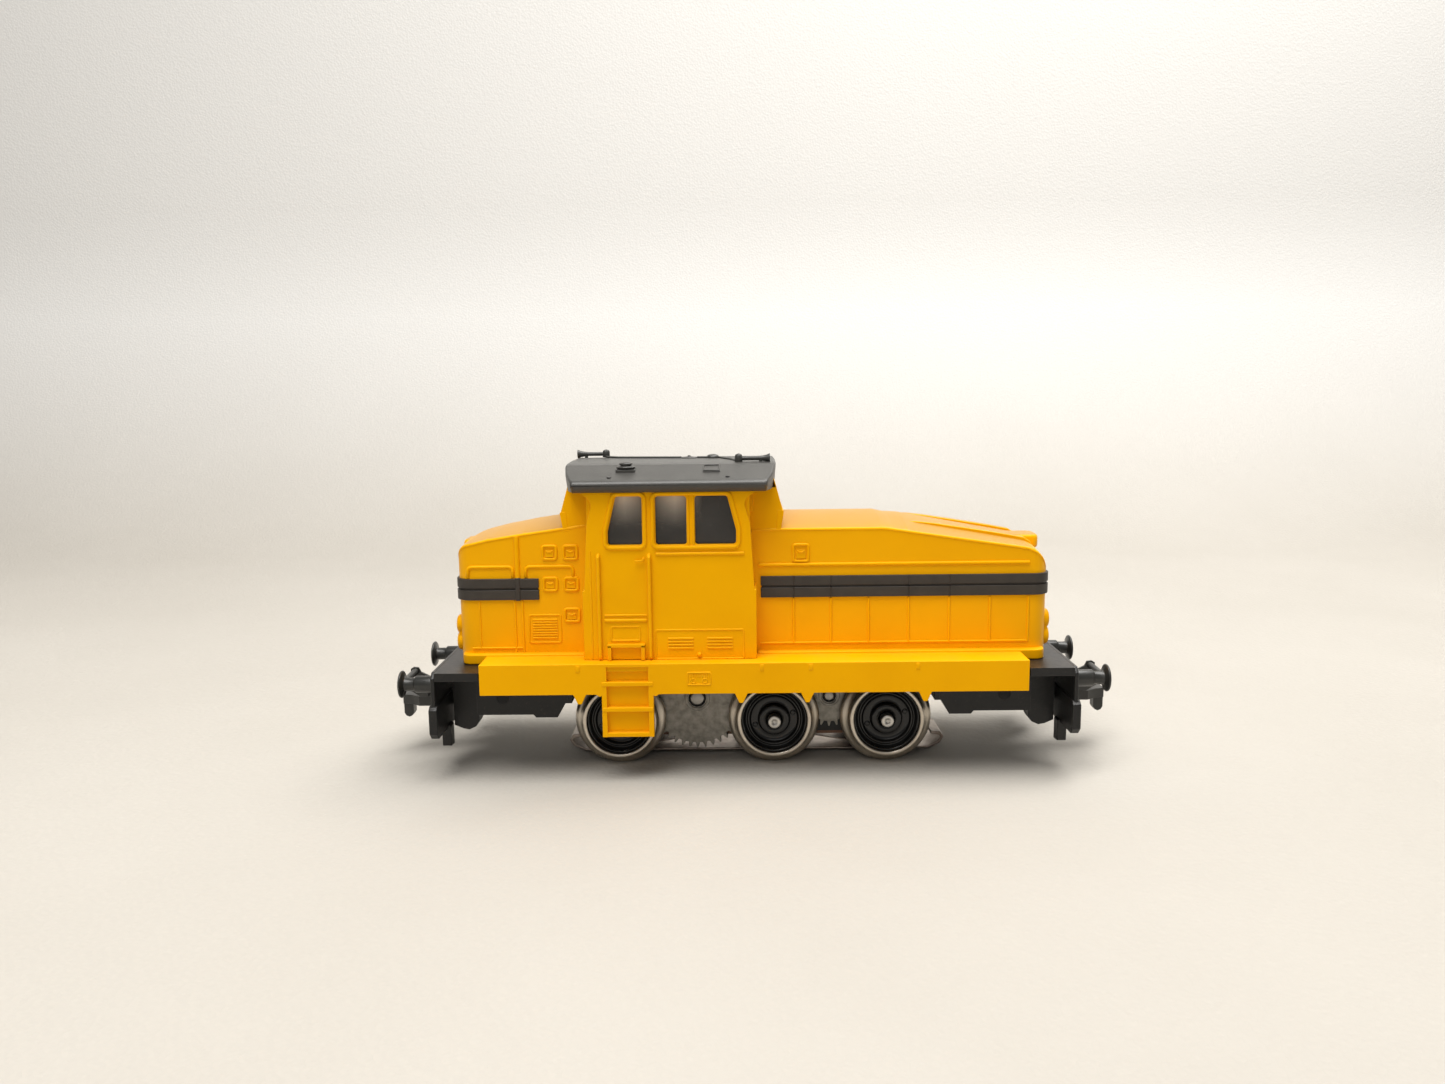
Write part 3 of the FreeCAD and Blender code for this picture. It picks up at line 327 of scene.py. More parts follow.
def makeGrainGroup():
    # moulded or painted surface: fine grain, slow cloudiness and a varying gloss
    tree, source, sink = newGroup("surfaceGrain", [
        ("Base", "Color", (0.5, 0.5, 0.5, 1)), ("Tint", "Color", (0.4, 0.4, 0.4, 1)),
        ("Cloud Scale", "Float", 120.0), ("Grain Scale", "Float", 4000.0),
        ("Roughness", "Float", 0.4), ("Roughness Spread", "Float", 0.08)],
        [("Color", "Color"), ("Roughness", "Float"), ("Height", "Float")])
    place = objectPlace(tree)
    cloud = noiseAt(tree, place, source.outputs["Cloud Scale"], 4.0)
    grain = noiseAt(tree, place, source.outputs["Grain Scale"], 2.0, 0.6)
    share = mapRange(tree, cloud, 0.35, 0.7)
    tree.links.new(mixColour(tree, share, source.outputs["Base"], source.outputs["Tint"]),
                   sink.inputs["Color"])
    spread = maths(tree, "MULTIPLY", maths(tree, "SUBTRACT", cloud, 0.5), source.outputs["Roughness Spread"])
    fine = maths(tree, "MULTIPLY", maths(tree, "SUBTRACT", grain, 0.5), 0.1)
    level = maths(tree, "ADD", maths(tree, "ADD", source.outputs["Roughness"], spread), fine)
    tree.links.new(level, sink.inputs["Roughness"])
    tree.links.new(maths(tree, "ADD", grain, maths(tree, "MULTIPLY", cloud, 0.6)), sink.inputs["Height"])
    return tree


def makeWearGroup():
    # edges rubbed by handling: where a bevelled normal leaves the true one
    tree, source, sink = newGroup("edgeRub", [
        ("Width", "Float", 0.25 * mm), ("Amount", "Float", 0.5), ("Breakup Scale", "Float", 600.0)],
        [("Mask", "Float")])
    bevel = addNode(tree, "Bevel", samples=4)
    tree.links.new(source.outputs["Width"], bevel.inputs["Radius"])
    agreement = vectorMaths(tree, "DOT_PRODUCT", bevel.outputs[0], faceNormal(tree))["Value"]
    edge = mapRange(tree, maths(tree, "SUBTRACT", 1.0, agreement), 0.02, 0.22)
    place = objectPlace(tree)
    broken = mapRange(tree, noiseAt(tree, place, source.outputs["Breakup Scale"], 5.0, 0.7), 0.42, 0.62)
    tree.links.new(maths(tree, "MULTIPLY", maths(tree, "MULTIPLY", edge, broken), source.outputs["Amount"]),
                   sink.inputs["Mask"])
    return tree


def makeDustGroup():
    # light dust that settles on upward faces and in patches
    tree, source, sink = newGroup("settledDust", [
        ("Amount", "Float", 0.3), ("Patch Scale", "Float", 220.0)], [("Mask", "Float")])
    up = mapRange(tree, splitAxes(tree, faceNormal(tree))["Z"], 0.3, 0.95)
    place = objectPlace(tree)
    patch = mapRange(tree, noiseAt(tree, place, source.outputs["Patch Scale"], 6.0, 0.7), 0.4, 0.75)
    speck = mapRange(tree, noiseAt(tree, place, 2600.0, 2.0, 0.6), 0.62, 0.72)
    both = maths(tree, "MAXIMUM", maths(tree, "MULTIPLY", patch, up), maths(tree, "MULTIPLY", speck, 0.5))
    tree.links.new(maths(tree, "MULTIPLY", both, source.outputs["Amount"]), sink.inputs["Mask"])
    return tree


def makeLatheGroup():
    # turning marks: fine rings about an axle that runs across the locomotive
    tree, source, sink = newGroup("latheRings", [
        ("Centre", "Vector", (0, 0, 0)), ("Ring Scale", "Float", 9000.0)],
        [("Rings", "Float"), ("Height", "Float")])
    place = objectPlace(tree)
    away = vectorMaths(tree, "SUBTRACT", place, source.outputs["Centre"])[0]
    flat = vectorMaths(tree, "MULTIPLY", away, (1, 0, 1))[0]
    radius = vectorMaths(tree, "LENGTH", flat)["Value"]
    along = splitAxes(tree, away)["Y"]
    reach = maths(tree, "ADD", radius, maths(tree, "MULTIPLY", along, 0.7))
    line = feed(tree, addNode(tree, "CombineXYZ"), {0: reach})[0]
    rings = noiseAt(tree, line, source.outputs["Ring Scale"], 2.0, 0.7)
    tree.links.new(rings, sink.inputs["Rings"])
    tree.links.new(rings, sink.inputs["Height"])
    return tree


grainGroup = makeGrainGroup()
wearGroup = makeWearGroup()
dustGroup = makeDustGroup()
latheGroup = makeLatheGroup()
print("shader groups built")

# materials


def newLook(name):
    look = bpy.data.materials.new(name)
    look.use_nodes = True
    tree = look.node_tree
    return look, tree, tree.nodes["Principled BSDF"]


def useGroup(tree, group, **values):
    node = tree.nodes.new("ShaderNodeGroup")
    node.node_tree = group
    for label, value in values.items():
        node.inputs[label.replace("_", " ")].default_value = value
    return node


def linkBump(tree, shader, height, distance, strength):
    bump = feed(tree, addNode(tree, "Bump"), {
        "Distance": distance * mm, "Strength": strength, "Height": height})
    tree.links.new(bump["Normal"], shader.inputs["Normal"])


def coatedLook(name, base, tint, rough, spread=0.08, cloud=120.0, grain=4000.0, bump=0.02, strength=0.35,
               metallic=0.0, coat=0.0, specular=0.5, rub=None, rubAmount=0.5, dust=None, dustAmount=0.3,
               paintedTopTone=None, paintedTopShare=0.8, sheen=(1.0, 1.0, 1.0)):
    look, tree, shader = newLook(name)
    surface = useGroup(tree, grainGroup, Base=(*base, 1), Tint=(*tint, 1), Cloud_Scale=cloud,
                       Grain_Scale=grain, Roughness=rough, Roughness_Spread=spread)
    colour = surface.outputs["Color"]
    if rub:
        worn = useGroup(tree, wearGroup, Amount=rubAmount)
        colour = mixColour(tree, worn.outputs["Mask"], colour, (*rub, 1))
    if dust:
        settled = useGroup(tree, dustGroup, Amount=dustAmount)
        colour = mixColour(tree, settled.outputs["Mask"], colour, (*dust, 1))
    if paintedTopTone:
        # painted shade and reflection: faces that look straight up are mixed towards a duller tan
        share = mapRange(tree, splitAxes(tree, faceNormal(tree))["Z"], 0.8, 0.97, 0.0, paintedTopShare)
        colour = mixColour(tree, share, colour, (*paintedTopTone, 1))
    feed(tree, shader, {
        "Base Color": colour, "Roughness": surface.outputs["Roughness"], "Metallic": metallic,
        "Coat Weight": coat, "Coat Roughness": 0.12, "Specular IOR Level": specular,
        "Specular Tint": (*sheen, 1)})
    linkBump(tree, shader, surface.outputs["Height"], bump, strength)
    return look


def turnedLook(name, base, dark, rough, centre, ringScale=9000.0, strength=0.25):
    look, tree, shader = newLook(name)
    rings = useGroup(tree, latheGroup, Centre=Vector(centre) * mm, Ring_Scale=ringScale)
    place = objectPlace(tree)
    stain = mapRange(tree, noiseAt(tree, place, 260.0, 5.0, 0.65), 0.4, 0.75)
    share = maths(tree, "MULTIPLY", maths(tree, "ADD", stain, rings.outputs["Rings"]), 0.5)
    colour = mixColour(tree, share, (*base, 1), (*dark, 1))
    level = maths(tree, "ADD", maths(tree, "MULTIPLY", rings.outputs["Rings"], 0.22), rough - 0.11)
    level = maths(tree, "ADD", level, maths(tree, "MULTIPLY", stain, 0.08))
    feed(tree, shader, {"Base Color": colour, "Roughness": level, "Metallic": 1.0})
    linkBump(tree, shader, rings.outputs["Height"], 0.012, strength)
    return look


def paneLook(name, base, tint, rough, alpha, transmission, paintedReflection=None):
    look, tree, shader = newLook(name)
    surface = useGroup(tree, grainGroup, Base=(*base, 1), Tint=(*tint, 1), Cloud_Scale=170.0,
                       Grain_Scale=3200.0, Roughness=rough, Roughness_Spread=0.12)
    settled = useGroup(tree, dustGroup, Amount=0.25)
    colour = mixColour(tree, settled.outputs["Mask"], surface.outputs["Color"], (0.3, 0.29, 0.27, 1))
    if paintedReflection:
        # painted reflection: a pale colour mixed into the pane, growing towards the tops of the openings
        axes = splitAxes(tree, objectPlace(tree))
        climb = mapRange(tree, axes["Z"], paintedReflection["foot"] * mm, paintedReflection["head"] * mm)
        for start, end in paintedReflection["spans"]:
            middle = (start + end) / 2 * mm
            away = maths(tree, "ABSOLUTE", maths(tree, "SUBTRACT", axes["X"], middle), 0.0)
            inside = mapRange(tree, away, (end - start) / 2 * mm, 0.0)
            share = maths(tree, "MULTIPLY", maths(tree, "MULTIPLY", climb, climb), inside)
            colour = mixColour(tree, share, colour, (*paintedReflection["colour"], 1))
    feed(tree, shader, {
        "Base Color": colour, "Roughness": surface.outputs["Roughness"],
        "Transmission Weight": transmission, "IOR": 1.49, "Alpha": alpha})
    linkBump(tree, shader, surface.outputs["Height"], 0.004, 0.2)
    return look


yellowPaint = {
    "base": (0.90, 0.425, 0.0), "tint": (0.86, 0.392, 0.0), "cloud": 90.0, "grain": 5200.0,
    "bump": 0.008, "strength": 0.25, "rub": (0.95, 0.60, 0.05), "rubAmount": 0.35,
    "dust": (0.55, 0.34, 0.08), "dustAmount": 0.12, "specular": 0.35,
}
bareMetal = {"grain": 4200.0, "bump": 0.015, "strength": 0.3, "metallic": 1.0}
looks = {
    "yellow": coatedLook("bodyYellow", rough=0.42, sheen=(1.0, 0.72, 0.12), **yellowPaint),
    # bonnet yellow: the body yellow with painted shade and reflection on the faces that look up
    "bonnet": coatedLook("bonnetYellowPaintedTop", rough=0.40, paintedTopTone=(0.40, 0.21, 0.04), paintedTopShare=0.85,
                         sheen=(1.0, 0.72, 0.2), **yellowPaint),
    "stripe": coatedLook("stripeGrey", (0.034, 0.028, 0.022), (0.046, 0.038, 0.030), 0.50,
                         specular=0.4, cloud=400.0, grain=3000.0, bump=0.03, strength=0.5),
    "roof": coatedLook("roofAnthracite", (0.040, 0.039, 0.035), (0.052, 0.050, 0.045), 0.38, cloud=160.0,
                       grain=3600.0, bump=0.035, strength=0.7, rub=(0.15, 0.15, 0.14), rubAmount=0.4,
                       dust=(0.14, 0.135, 0.12), dustAmount=0.15),
    "chassis": coatedLook("chassisBlack", (0.0065, 0.0065, 0.0065), (0.011, 0.0105, 0.0098), 0.36,
                          cloud=260.0, grain=1700.0, bump=0.04, strength=0.45, specular=0.35,
                          rub=(0.08, 0.078, 0.07), dust=(0.10, 0.07, 0.05)),
    # near-black for discs and rings painted where holes and grooves show only shade
    "paintedShade": coatedLook("deepShadow", (0.003, 0.003, 0.003), (0.005, 0.005, 0.005), 0.7, cloud=300.0,
                      grain=1800.0),
    "coupler": coatedLook("couplerBlack", (0.017, 0.017, 0.015), (0.027, 0.027, 0.024), 0.34, cloud=500.0,
                          grain=2600.0, bump=0.02, strength=0.4, rub=(0.16, 0.155, 0.145), rubAmount=0.6),
    "wheel": coatedLook("wheelBlack", (0.0025, 0.0025, 0.0026), (0.0045, 0.0045, 0.0043), 0.22, cloud=300.0,
                        grain=1500.0, bump=0.02, strength=0.25, coat=0.1, specular=0.4,
                        dust=(0.06, 0.056, 0.05), dustAmount=0.15),
    "gear": coatedLook("gearMetal", (0.27, 0.255, 0.225), (0.16, 0.15, 0.13), 0.46, cloud=900.0, grain=5200.0,
                       bump=0.05, strength=0.5, metallic=0.85, rub=(0.42, 0.4, 0.37), rubAmount=0.7,
                       dust=(0.12, 0.09, 0.06), dustAmount=0.3),
    "shoe": coatedLook("shoeMetal", (0.40, 0.345, 0.30), (0.22, 0.175, 0.145), 0.36, cloud=420.0,
                       grain=3000.0, strength=0.4, metallic=1.0, rub=(0.7, 0.64, 0.57)),
    "steel": coatedLook("plainSteel", (0.34, 0.325, 0.30), (0.25, 0.235, 0.215), 0.38, cloud=700.0,
                        **bareMetal),
    "brass": coatedLook("plainBrass", (0.72, 0.52, 0.24), (0.55, 0.38, 0.16), 0.32, cloud=600.0,
                        **bareMetal),
    "copper": coatedLook("plainCopper", (0.75, 0.38, 0.23), (0.52, 0.25, 0.14), 0.34, cloud=600.0,
                         **bareMetal),
    "winding": coatedLook("windingEnamel", (0.36, 0.12, 0.04), (0.22, 0.07, 0.025), 0.3, cloud=2600.0,
                          grain=6000.0, bump=0.1, strength=0.6, coat=0.4),
    "iron": coatedLook("stackedIron", (0.16, 0.16, 0.165), (0.09, 0.085, 0.08), 0.42, cloud=1400.0,
                       grain=5200.0, bump=0.06, strength=0.5, metallic=0.8),
    "fibre": coatedLook("pressedFibre", (0.20, 0.095, 0.045), (0.14, 0.062, 0.028), 0.55, cloud=900.0,
                        grain=3600.0, bump=0.04, strength=0.5),
    "carbon": coatedLook("pressedCarbon", (0.02, 0.02, 0.021), (0.035, 0.034, 0.033), 0.5, cloud=1200.0,
                         grain=5000.0, bump=0.03, strength=0.5),
    # the smoked pane's last table is a painted reflection, pale towards the tops of the first two openings
    "pane": paneLook("smokedPane", (0.020, 0.018, 0.016), (0.052, 0.048, 0.043), 0.16, 0.93, 0.15,
                     {"colour": (0.85, 0.75, 0.62), "spans": ((-24.0, -15.0), (-16.0, -7.5)),
                      "foot": 38.5, "head": 44.6}),
    "lens": paneLook("clearLens", (0.75, 0.72, 0.62), (0.6, 0.56, 0.46), 0.1, 0.9, 0.75),
    "bulb": paneLook("bulbGlass", (0.8, 0.8, 0.78), (0.7, 0.7, 0.66), 0.06, 0.6, 0.9),
}
axleSpots = {1: (-21.5, 0.0, 7.4), 2: (3.4, 0.0, 7.4), 3: (21.5, 0.0, 7.4)}
for wheelNumber, spot in axleSpots.items():
    looks[f"tyre{wheelNumber}"] = turnedLook(f"tyreMetal{wheelNumber}", (0.66, 0.60, 0.51),
                                             (0.36, 0.31, 0.25), 0.3, spot)
    looks[f"axle{wheelNumber}"] = turnedLook(f"axleSteel{wheelNumber}", (0.62, 0.60, 0.56),
                                             (0.42, 0.40, 0.37), 0.34, spot, 14000.0)
print("materials built")

# geometry node trees for what repeats


def newTree(name, inputs):
    tree = bpy.data.node_groups.new(name, "GeometryNodeTree")
    tree.interface.new_socket("Geometry", in_out="INPUT", socket_type="NodeSocketGeometry")
    for label, kind, value in inputs:
        socket = tree.interface.new_socket(label, in_out="INPUT", socket_type="NodeSocket" + kind)
        if value is not None:
            socket.default_value = value
    tree.interface.new_socket("Geometry", in_out="OUTPUT", socket_type="NodeSocketGeometry")
    return tree, tree.nodes.new("NodeGroupInput"), tree.nodes.new("NodeGroupOutput")


def chain(tree, *steps):
    # each step is (from node, output, to node, input)
    for fromNode, output, toNode, entry in steps:
        tree.links.new(fromNode.outputs[output], toNode.inputs[entry])


def endTree(tree, source, sink, geometry, output):
    realized = tree.nodes.new("GeometryNodeRealizeInstances")
    smooth = tree.nodes.new("GeometryNodeSetShadeSmooth")
    finish = tree.nodes.new("GeometryNodeSetMaterial")
    chain(tree, (geometry, output, realized, 0), (realized, 0, smooth, 0), (smooth, 0, finish, "Geometry"),
          (source, "Finish", finish, "Material"), (finish, 0, sink, 0))


def makeBarTree():
    # one rounded bar on every point of the piece: ribs, louvres, panel seams and rails
    tree, source, sink = newTree("ribsOnPoints", [
        ("Direction", "Vector", (1, 0, 0)), ("Length", "Float", 1.0), ("Radius", "Float", 0.1),
        ("Sides", "Int", 10), ("Finish", "Material", None)])
    line = tree.nodes.new("GeometryNodeCurvePrimitiveLine")
    line.mode = "DIRECTION"
    middle = tree.nodes.new("ShaderNodeVectorMath")
    middle.operation = "SCALE"
    middle.inputs["Scale"].default_value = -0.5
    reach = tree.nodes.new("ShaderNodeVectorMath")
    reach.operation = "SCALE"
    ring = tree.nodes.new("GeometryNodeCurvePrimitiveCircle")
    sweep = tree.nodes.new("GeometryNodeCurveToMesh")
    sweep.inputs["Fill Caps"].default_value = True
    scatter = tree.nodes.new("GeometryNodeInstanceOnPoints")
    chain(tree, (source, "Direction", reach, 0), (source, "Length", reach, "Scale"), (reach, 0, middle, 0),
          (middle, 0, line, "Start"), (source, "Direction", line, "Direction"),
          (source, "Length", line, "Length"),
          (source, "Sides", ring, "Resolution"), (source, "Radius", ring, "Radius"),
          (line, 0, sweep, 0), (ring, 0, sweep, 1),
          (source, "Geometry", scatter, "Points"), (sweep, 0, scatter, "Instance"))
    endTree(tree, source, sink, scatter, 0)
    return tree


def makeStudTree():
    # one low dome on every point of the piece: rivets, screw heads and knobs
    tree, source, sink = newTree("studsOnPoints", [
        ("Radius", "Float", 0.3), ("Squash", "Vector", (1, 1, 1)), ("Finish", "Material", None)])
    ball = tree.nodes.new("GeometryNodeMeshUVSphere")
    ball.inputs["Segments"].default_value = 16
    ball.inputs["Rings"].default_value = 10
    flat = tree.nodes.new("GeometryNodeTransform")
    scatter = tree.nodes.new("GeometryNodeInstanceOnPoints")
    chain(tree, (source, "Radius", ball, "Radius"), (ball, 0, flat, 0), (source, "Squash", flat, "Scale"),
          (source, "Geometry", scatter, "Points"), (flat, 0, scatter, "Instance"))
    endTree(tree, source, sink, scatter, 0)
    return tree


barTree = makeBarTree()
studTree = makeStudTree()


def scattered(name, tree, points, look, body="chassis", slot="body_yellow", **values):
    mesh = bpy.data.meshes.new(name)
    mesh.from_pydata([Vector(point) * mm for point in points], [], [])
    piece = newObject(name, mesh)
    modifier = piece.modifiers.new("repeat", "NODES")
    modifier.node_group = tree
    values["Finish"] = look
    for item in tree.interface.items_tree:
        if item.in_out == "INPUT" and item.name in values:
            modifier[item.identifier] = values[item.name]
    piece.data = finalMesh(piece)
    piece.modifiers.clear()
    bpy.data.meshes.remove(mesh)
    return showPiece(piece, body, ())


def bars(name, points, direction, length, radius, look="yellow", sides=10, **where):
    return scattered(name, barTree, points, looks[look], Direction=direction, Length=length * mm,
                     Radius=radius * mm, Sides=sides, **where)


def studs(name, points, radius, squash, look="yellow", **where):
    return scattered(name, studTree, points, looks[look], Radius=radius * mm, Squash=squash, **where)


print("repeat trees built")

# bonnets: sections along the length, with a crowned top and turned-down ends

bonnet = {
    "halfWidth": 10.1,
    "endX": 46.75,
    "base": 17.5,
    "planRadius": 2.5,
    "bandStep": 0.09,
    "bandDrop": 0.42,
    "creaseAngle": 40,
    "longArris": [(0.0, 38.7), (20.9, 38.7, 12.0), (46.75, 34.8, 4.6), (46.75, 20.0)],
    "longCrown": [(0.0, 40.2), (20.3, 40.2, 0.8), (22.2, 39.75, 0.8), (24.3, 39.7, 3.0),
                  (46.75, 35.4, 4.6), (46.75, 20.0)],
    "shortArris": [(25.6, 39.75), (29.4, 39.2, 6.0), (36.6, 38.2, 10.0), (41.5, 37.45, 8.0),
                   (46.75, 36.2, 2.4), (46.75, 20.0)],
    "shortCrown": [(25.6, 40.7), (31.45, 39.8, 6.0), (35.7, 39.2, 8.0), (41.0, 38.1, 6.0),
                   (46.75, 36.55, 2.4), (46.75, 20.0)],
}


bandHalf = bonnet["halfWidth"] - bonnet["bandStep"]
upright = (0, 0, 1)
lengthwise = (1, 0, 0)


def heightAt(path, x):
    for first, second in zip(path, path[1:]):
        if first.x <= x <= second.x and second.x > first.x:
            share = (x - first.x) / (second.x - first.x)
            return first.y + (second.y - first.y) * share
    return path[-2].y


def bonnetSection(x, half, arris, crown, side):
    # the band below the arris stands a little further out than the side
    step = bonnet["bandStep"]
    drop = bonnet["bandDrop"]
    points = [(half - step, bonnet["base"]), (half - step, arris - drop), (half, arris - drop + 0.05),
              (half, arris - 0.22), (half - 0.08, arris - 0.07), (half - 0.25, arris + 0.02)]
    for share in (0.86, 0.68, 0.5, 0.33, 0.16):
        across = (half - 0.25) * share
        points.append((across, crown - (crown - arris) * (across / half) ** 2))
    ring = points + [(0.0, crown)] + [(-y, z) for y, z in reversed(points)]
    return [Vector((x * side, y, z)) for y, z in ring]


def slopePaths(name):
    return [roundedPath(bonnet[name + line], 0.0, 10, closed=False) for line in ("Arris", "Crown")]


def buildBonnet(name, side, start):
    radius = bonnet["planRadius"]
    arris, crown = slopePaths(name)
    straight = bonnet["endX"] - radius
    stations = sorted({start, straight} | {point.x for point in arris + crown if start < point.x < straight})
    sections = [bonnetSection(x, bonnet["halfWidth"], heightAt(arris, x), heightAt(crown, x), side)
                for x in stations]
    for step in range(1, 11):
        angle = math.radians(9 * step)
        x = straight + radius * math.sin(angle)
        half = bonnet["halfWidth"] - radius + (radius * math.cos(angle) if step < 10 else 0.0)
        sections.append(bonnetSection(x, half, heightAt(arris, x - 1e-4), heightAt(crown, x - 1e-4), side))
    bm = bmesh.new()
    addLoft(bm, sections)
    # a hollow moulding: open below and towards the cab, where the motor reaches in
    inner = [face for face in bm.faces
             if max(vert.co.z for vert in face.verts) < bonnet["base"] + 0.01
             or max(abs(vert.co.x - start * side) for vert in face.verts) < 0.01]
    bmesh.ops.delete(bm, geom=inner, context="FACES")
    for edge in bm.edges:
        edge.smooth = edge.calc_face_angle(0.0) < math.radians(bonnet["creaseAngle"])
    makePiece(name + "_bonnet", bm, looks["bonnet"], bevel=0, replaces=("body_shell",))


stripes = {
    "proud": 0.38,
    "groove": 0.06,
    "depth": 0.5,
    "bands": ((27.7, 29.3), (29.62, 31.1)),
    "longStart": 1.37,
    "shortStart": 33.67,
    "longRibs": (6.57, 12.44, 24.69, 31.08),
    "tie": (36.61, 37.34),
}


def planBand(side, start, proud):
    # outline of a strip that wraps a bonnet end, as seen from above
    end = bonnet["endX"]
    corner = bonnet["planRadius"]
    deep = stripes["depth"]
    outer = [(start, -bandHalf - proud), (end + proud, -bandHalf - proud, corner + proud),
             (end + proud, bandHalf + proud, corner + proud), (start, bandHalf + proud)]
    inner = [(start, bandHalf - deep), (end - deep, bandHalf - deep, corner - deep),
             (end - deep, -bandHalf + deep, corner - deep), (start, -bandHalf + deep)]
    ring = roundedPath(outer, 0.0, 8, closed=False) + roundedPath(inner, 0.0, 8, closed=False)
    return [(x * side, y) for x, y in ring]


def buildStripes():
    lower, upper = stripes["bands"]
    for name, side, start in (("front", 1, stripes["longStart"]), ("rear", -1, stripes["shortStart"])):
        bm = bmesh.new()
        for low, high in stripes["bands"]:
            addPrism(bm, planBand(side, start, stripes["proud"]), "XY", low, high)
        addPrism(bm, planBand(side, start + 0.1, stripes["groove"]), "XY", lower[1] - 0.1, upper[0] + 0.1)
        if side < 0:
            for hand in hands:
                addPrism(bm, rect(-stripes["tie"][1], -stripes["tie"][0], 27.6, 31.25), "XZ",
                         *through(bonnet["halfWidth"] * hand, hand, 0.3, 0.42))
        makePiece("stripes_" + name, bm, looks["stripe"], bevel=0.09)
    ribs = [(x, (bandHalf + stripes["proud"]) * hand, (low + high) / 2)
            for x in stripes["longRibs"] for hand in hands for low, high in stripes["bands"]]
    bars("stripe_ribs", ribs, upright, 1.55, 0.13, look="stripe", sides=8)


panelRibs = {  # places along the length, height, direction, length, radius
    "long_bonnet_seams": ((6.57, 12.44, 18.38, 24.69, 31.08, 37.5, 43.55), 23.9, upright, 7.2, 0.2),
    "long_bonnet_foot_rib": ((22.4,), 20.3, lengthwise, 42.4, 0.18),
    "long_bonnet_rib": ((22.3,), 32.88, lengthwise, 42.5, 0.3),
    "short_bonnet_seams": ((-36.4, -37.6), 23.2, upright, 8.6, 0.19),
    "short_bonnet_upper_seams": ((-37.0,), 34.4, upright, 6.8, 0.42),
    "short_bonnet_foot_rib": ((-40.6,), 19.9, lengthwise, 8.0, 0.17),
    "short_bonnet_corner_rib": ((-43.2,), 23.6, upright, 7.6, 0.15),
}


def buildPanelRibs():
    for name, (places, level, direction, length, radius) in panelRibs.items():
        points = [(x, (bandHalf + 0.02) * hand, level) for x in places for hand in hands]
        bars(name, points, direction, length, radius)


def buildHoods():
    # low raised panels with rounded upper corners above the rear stripes
    bm = bmesh.new()
    foot, head = 31.3, 32.98
    for hand in hands:
        for low, high in ((-44.9, -37.75), (-35.7, -28.2)):
            path = roundedPath([(low, foot), (low, head, 0.7), (high, head, 0.7), (high, foot)], 0, 5,
                               closed=False)
            addTube(bm, [(x, bandHalf * hand, z) for x, z in path], 0.27)
    makePiece("short_bonnet_hoods", bm, looks["yellow"], bevel=0)


def addHatch(bm, x, z, width, height, hand):
    # a bead round the opening, a raised flap and its handle
    edge = bandHalf * hand
    border = rect(x - width / 2, x + width / 2, z - height / 2, z + height / 2)
    addBead(bm, roundedPath(border, 0.35, 4), edge + 0.03 * hand, 0.25, 8)
    flap = rect(x - width * 0.3, x + width * 0.3, z - height * 0.34, z + height * 0.2)
    addPrism(bm, roundedPath(flap, 0.1, 2), "XZ", *through(edge, hand, 0.2, 0.2))
    handle = [(x - width * 0.24, z + height * 0.16), (x - width * 0.1, z + height * 0.04),
              (x + width * 0.1, z + height * 0.04), (x + width * 0.24, z + height * 0.16)]
    addTube(bm, [(u, edge + 0.24 * hand, v) for u, v in handle], 0.11, 8)


def buildHatches():
    bm = bmesh.new()
    spots = [(7.7, 34.75, 2.35, 2.6), (-31.85, 35.2, 2.1, 2.1), (-28.55, 35.2, 2.1, 2.1),
             (-31.85, 30.15, 2.1, 2.0), (-28.55, 30.15, 2.1, 2.0), (-28.55, 25.15, 2.3, 2.0)]
    for x, z, width, height in spots:
        for hand in hands:
            addHatch(bm, x, z, width, height, hand)
    makePiece("bonnet_hatches", bm, looks["yellow"], bevel=0.05)


def buildLouvres():
    slats = [(-32.9, (bandHalf + 0.02) * hand, 21.5 + 0.42 * step) for hand in hands for step in range(8)]
    bars("louvre_slats", slats, lengthwise, 3.9, 0.165)
    bm = bmesh.new()
    for hand in hands:
        addBead(bm, roundedPath(rect(-35.4, -30.4, 20.75, 25.2), 0.3, 3), bandHalf * hand, 0.15, 8)
    makePiece("louvre_frames", bm, looks["yellow"], bevel=0)


plinth = {
    "longStart": 0.8,
    "shortStart": 26.3,
    "end": 46.2,
    "half": 11.3,
    "innerEnd": 44.0,
    "innerHalf": 9.0,
    "under": 17.52,
    "top": 19.15,
}


def buildPlinth():
    # a rim under each bonnet, open in the middle like the moulding above it
    bm = bmesh.new()
    end, half = plinth["end"], plinth["half"]
    innerEnd, innerHalf = plinth["innerEnd"], plinth["innerHalf"]
    for start, side in ((plinth["longStart"], 1), (plinth["shortStart"], -1)):
        ring = [(start, -half), (end, -half, 1.6), (end, half, 1.6), (start, half),
                (start, innerHalf), (innerEnd, innerHalf), (innerEnd, -innerHalf), (start, -innerHalf)]
        outline = [(x * side, y) for x, y in roundedPath(ring, 0.0, 6, closed=False)]
        addPrism(bm, outline, "XY", plinth["under"], plinth["top"])
    makePiece("bonnet_plinths", bm, looks["yellow"], bevel=0.25, segments=3)


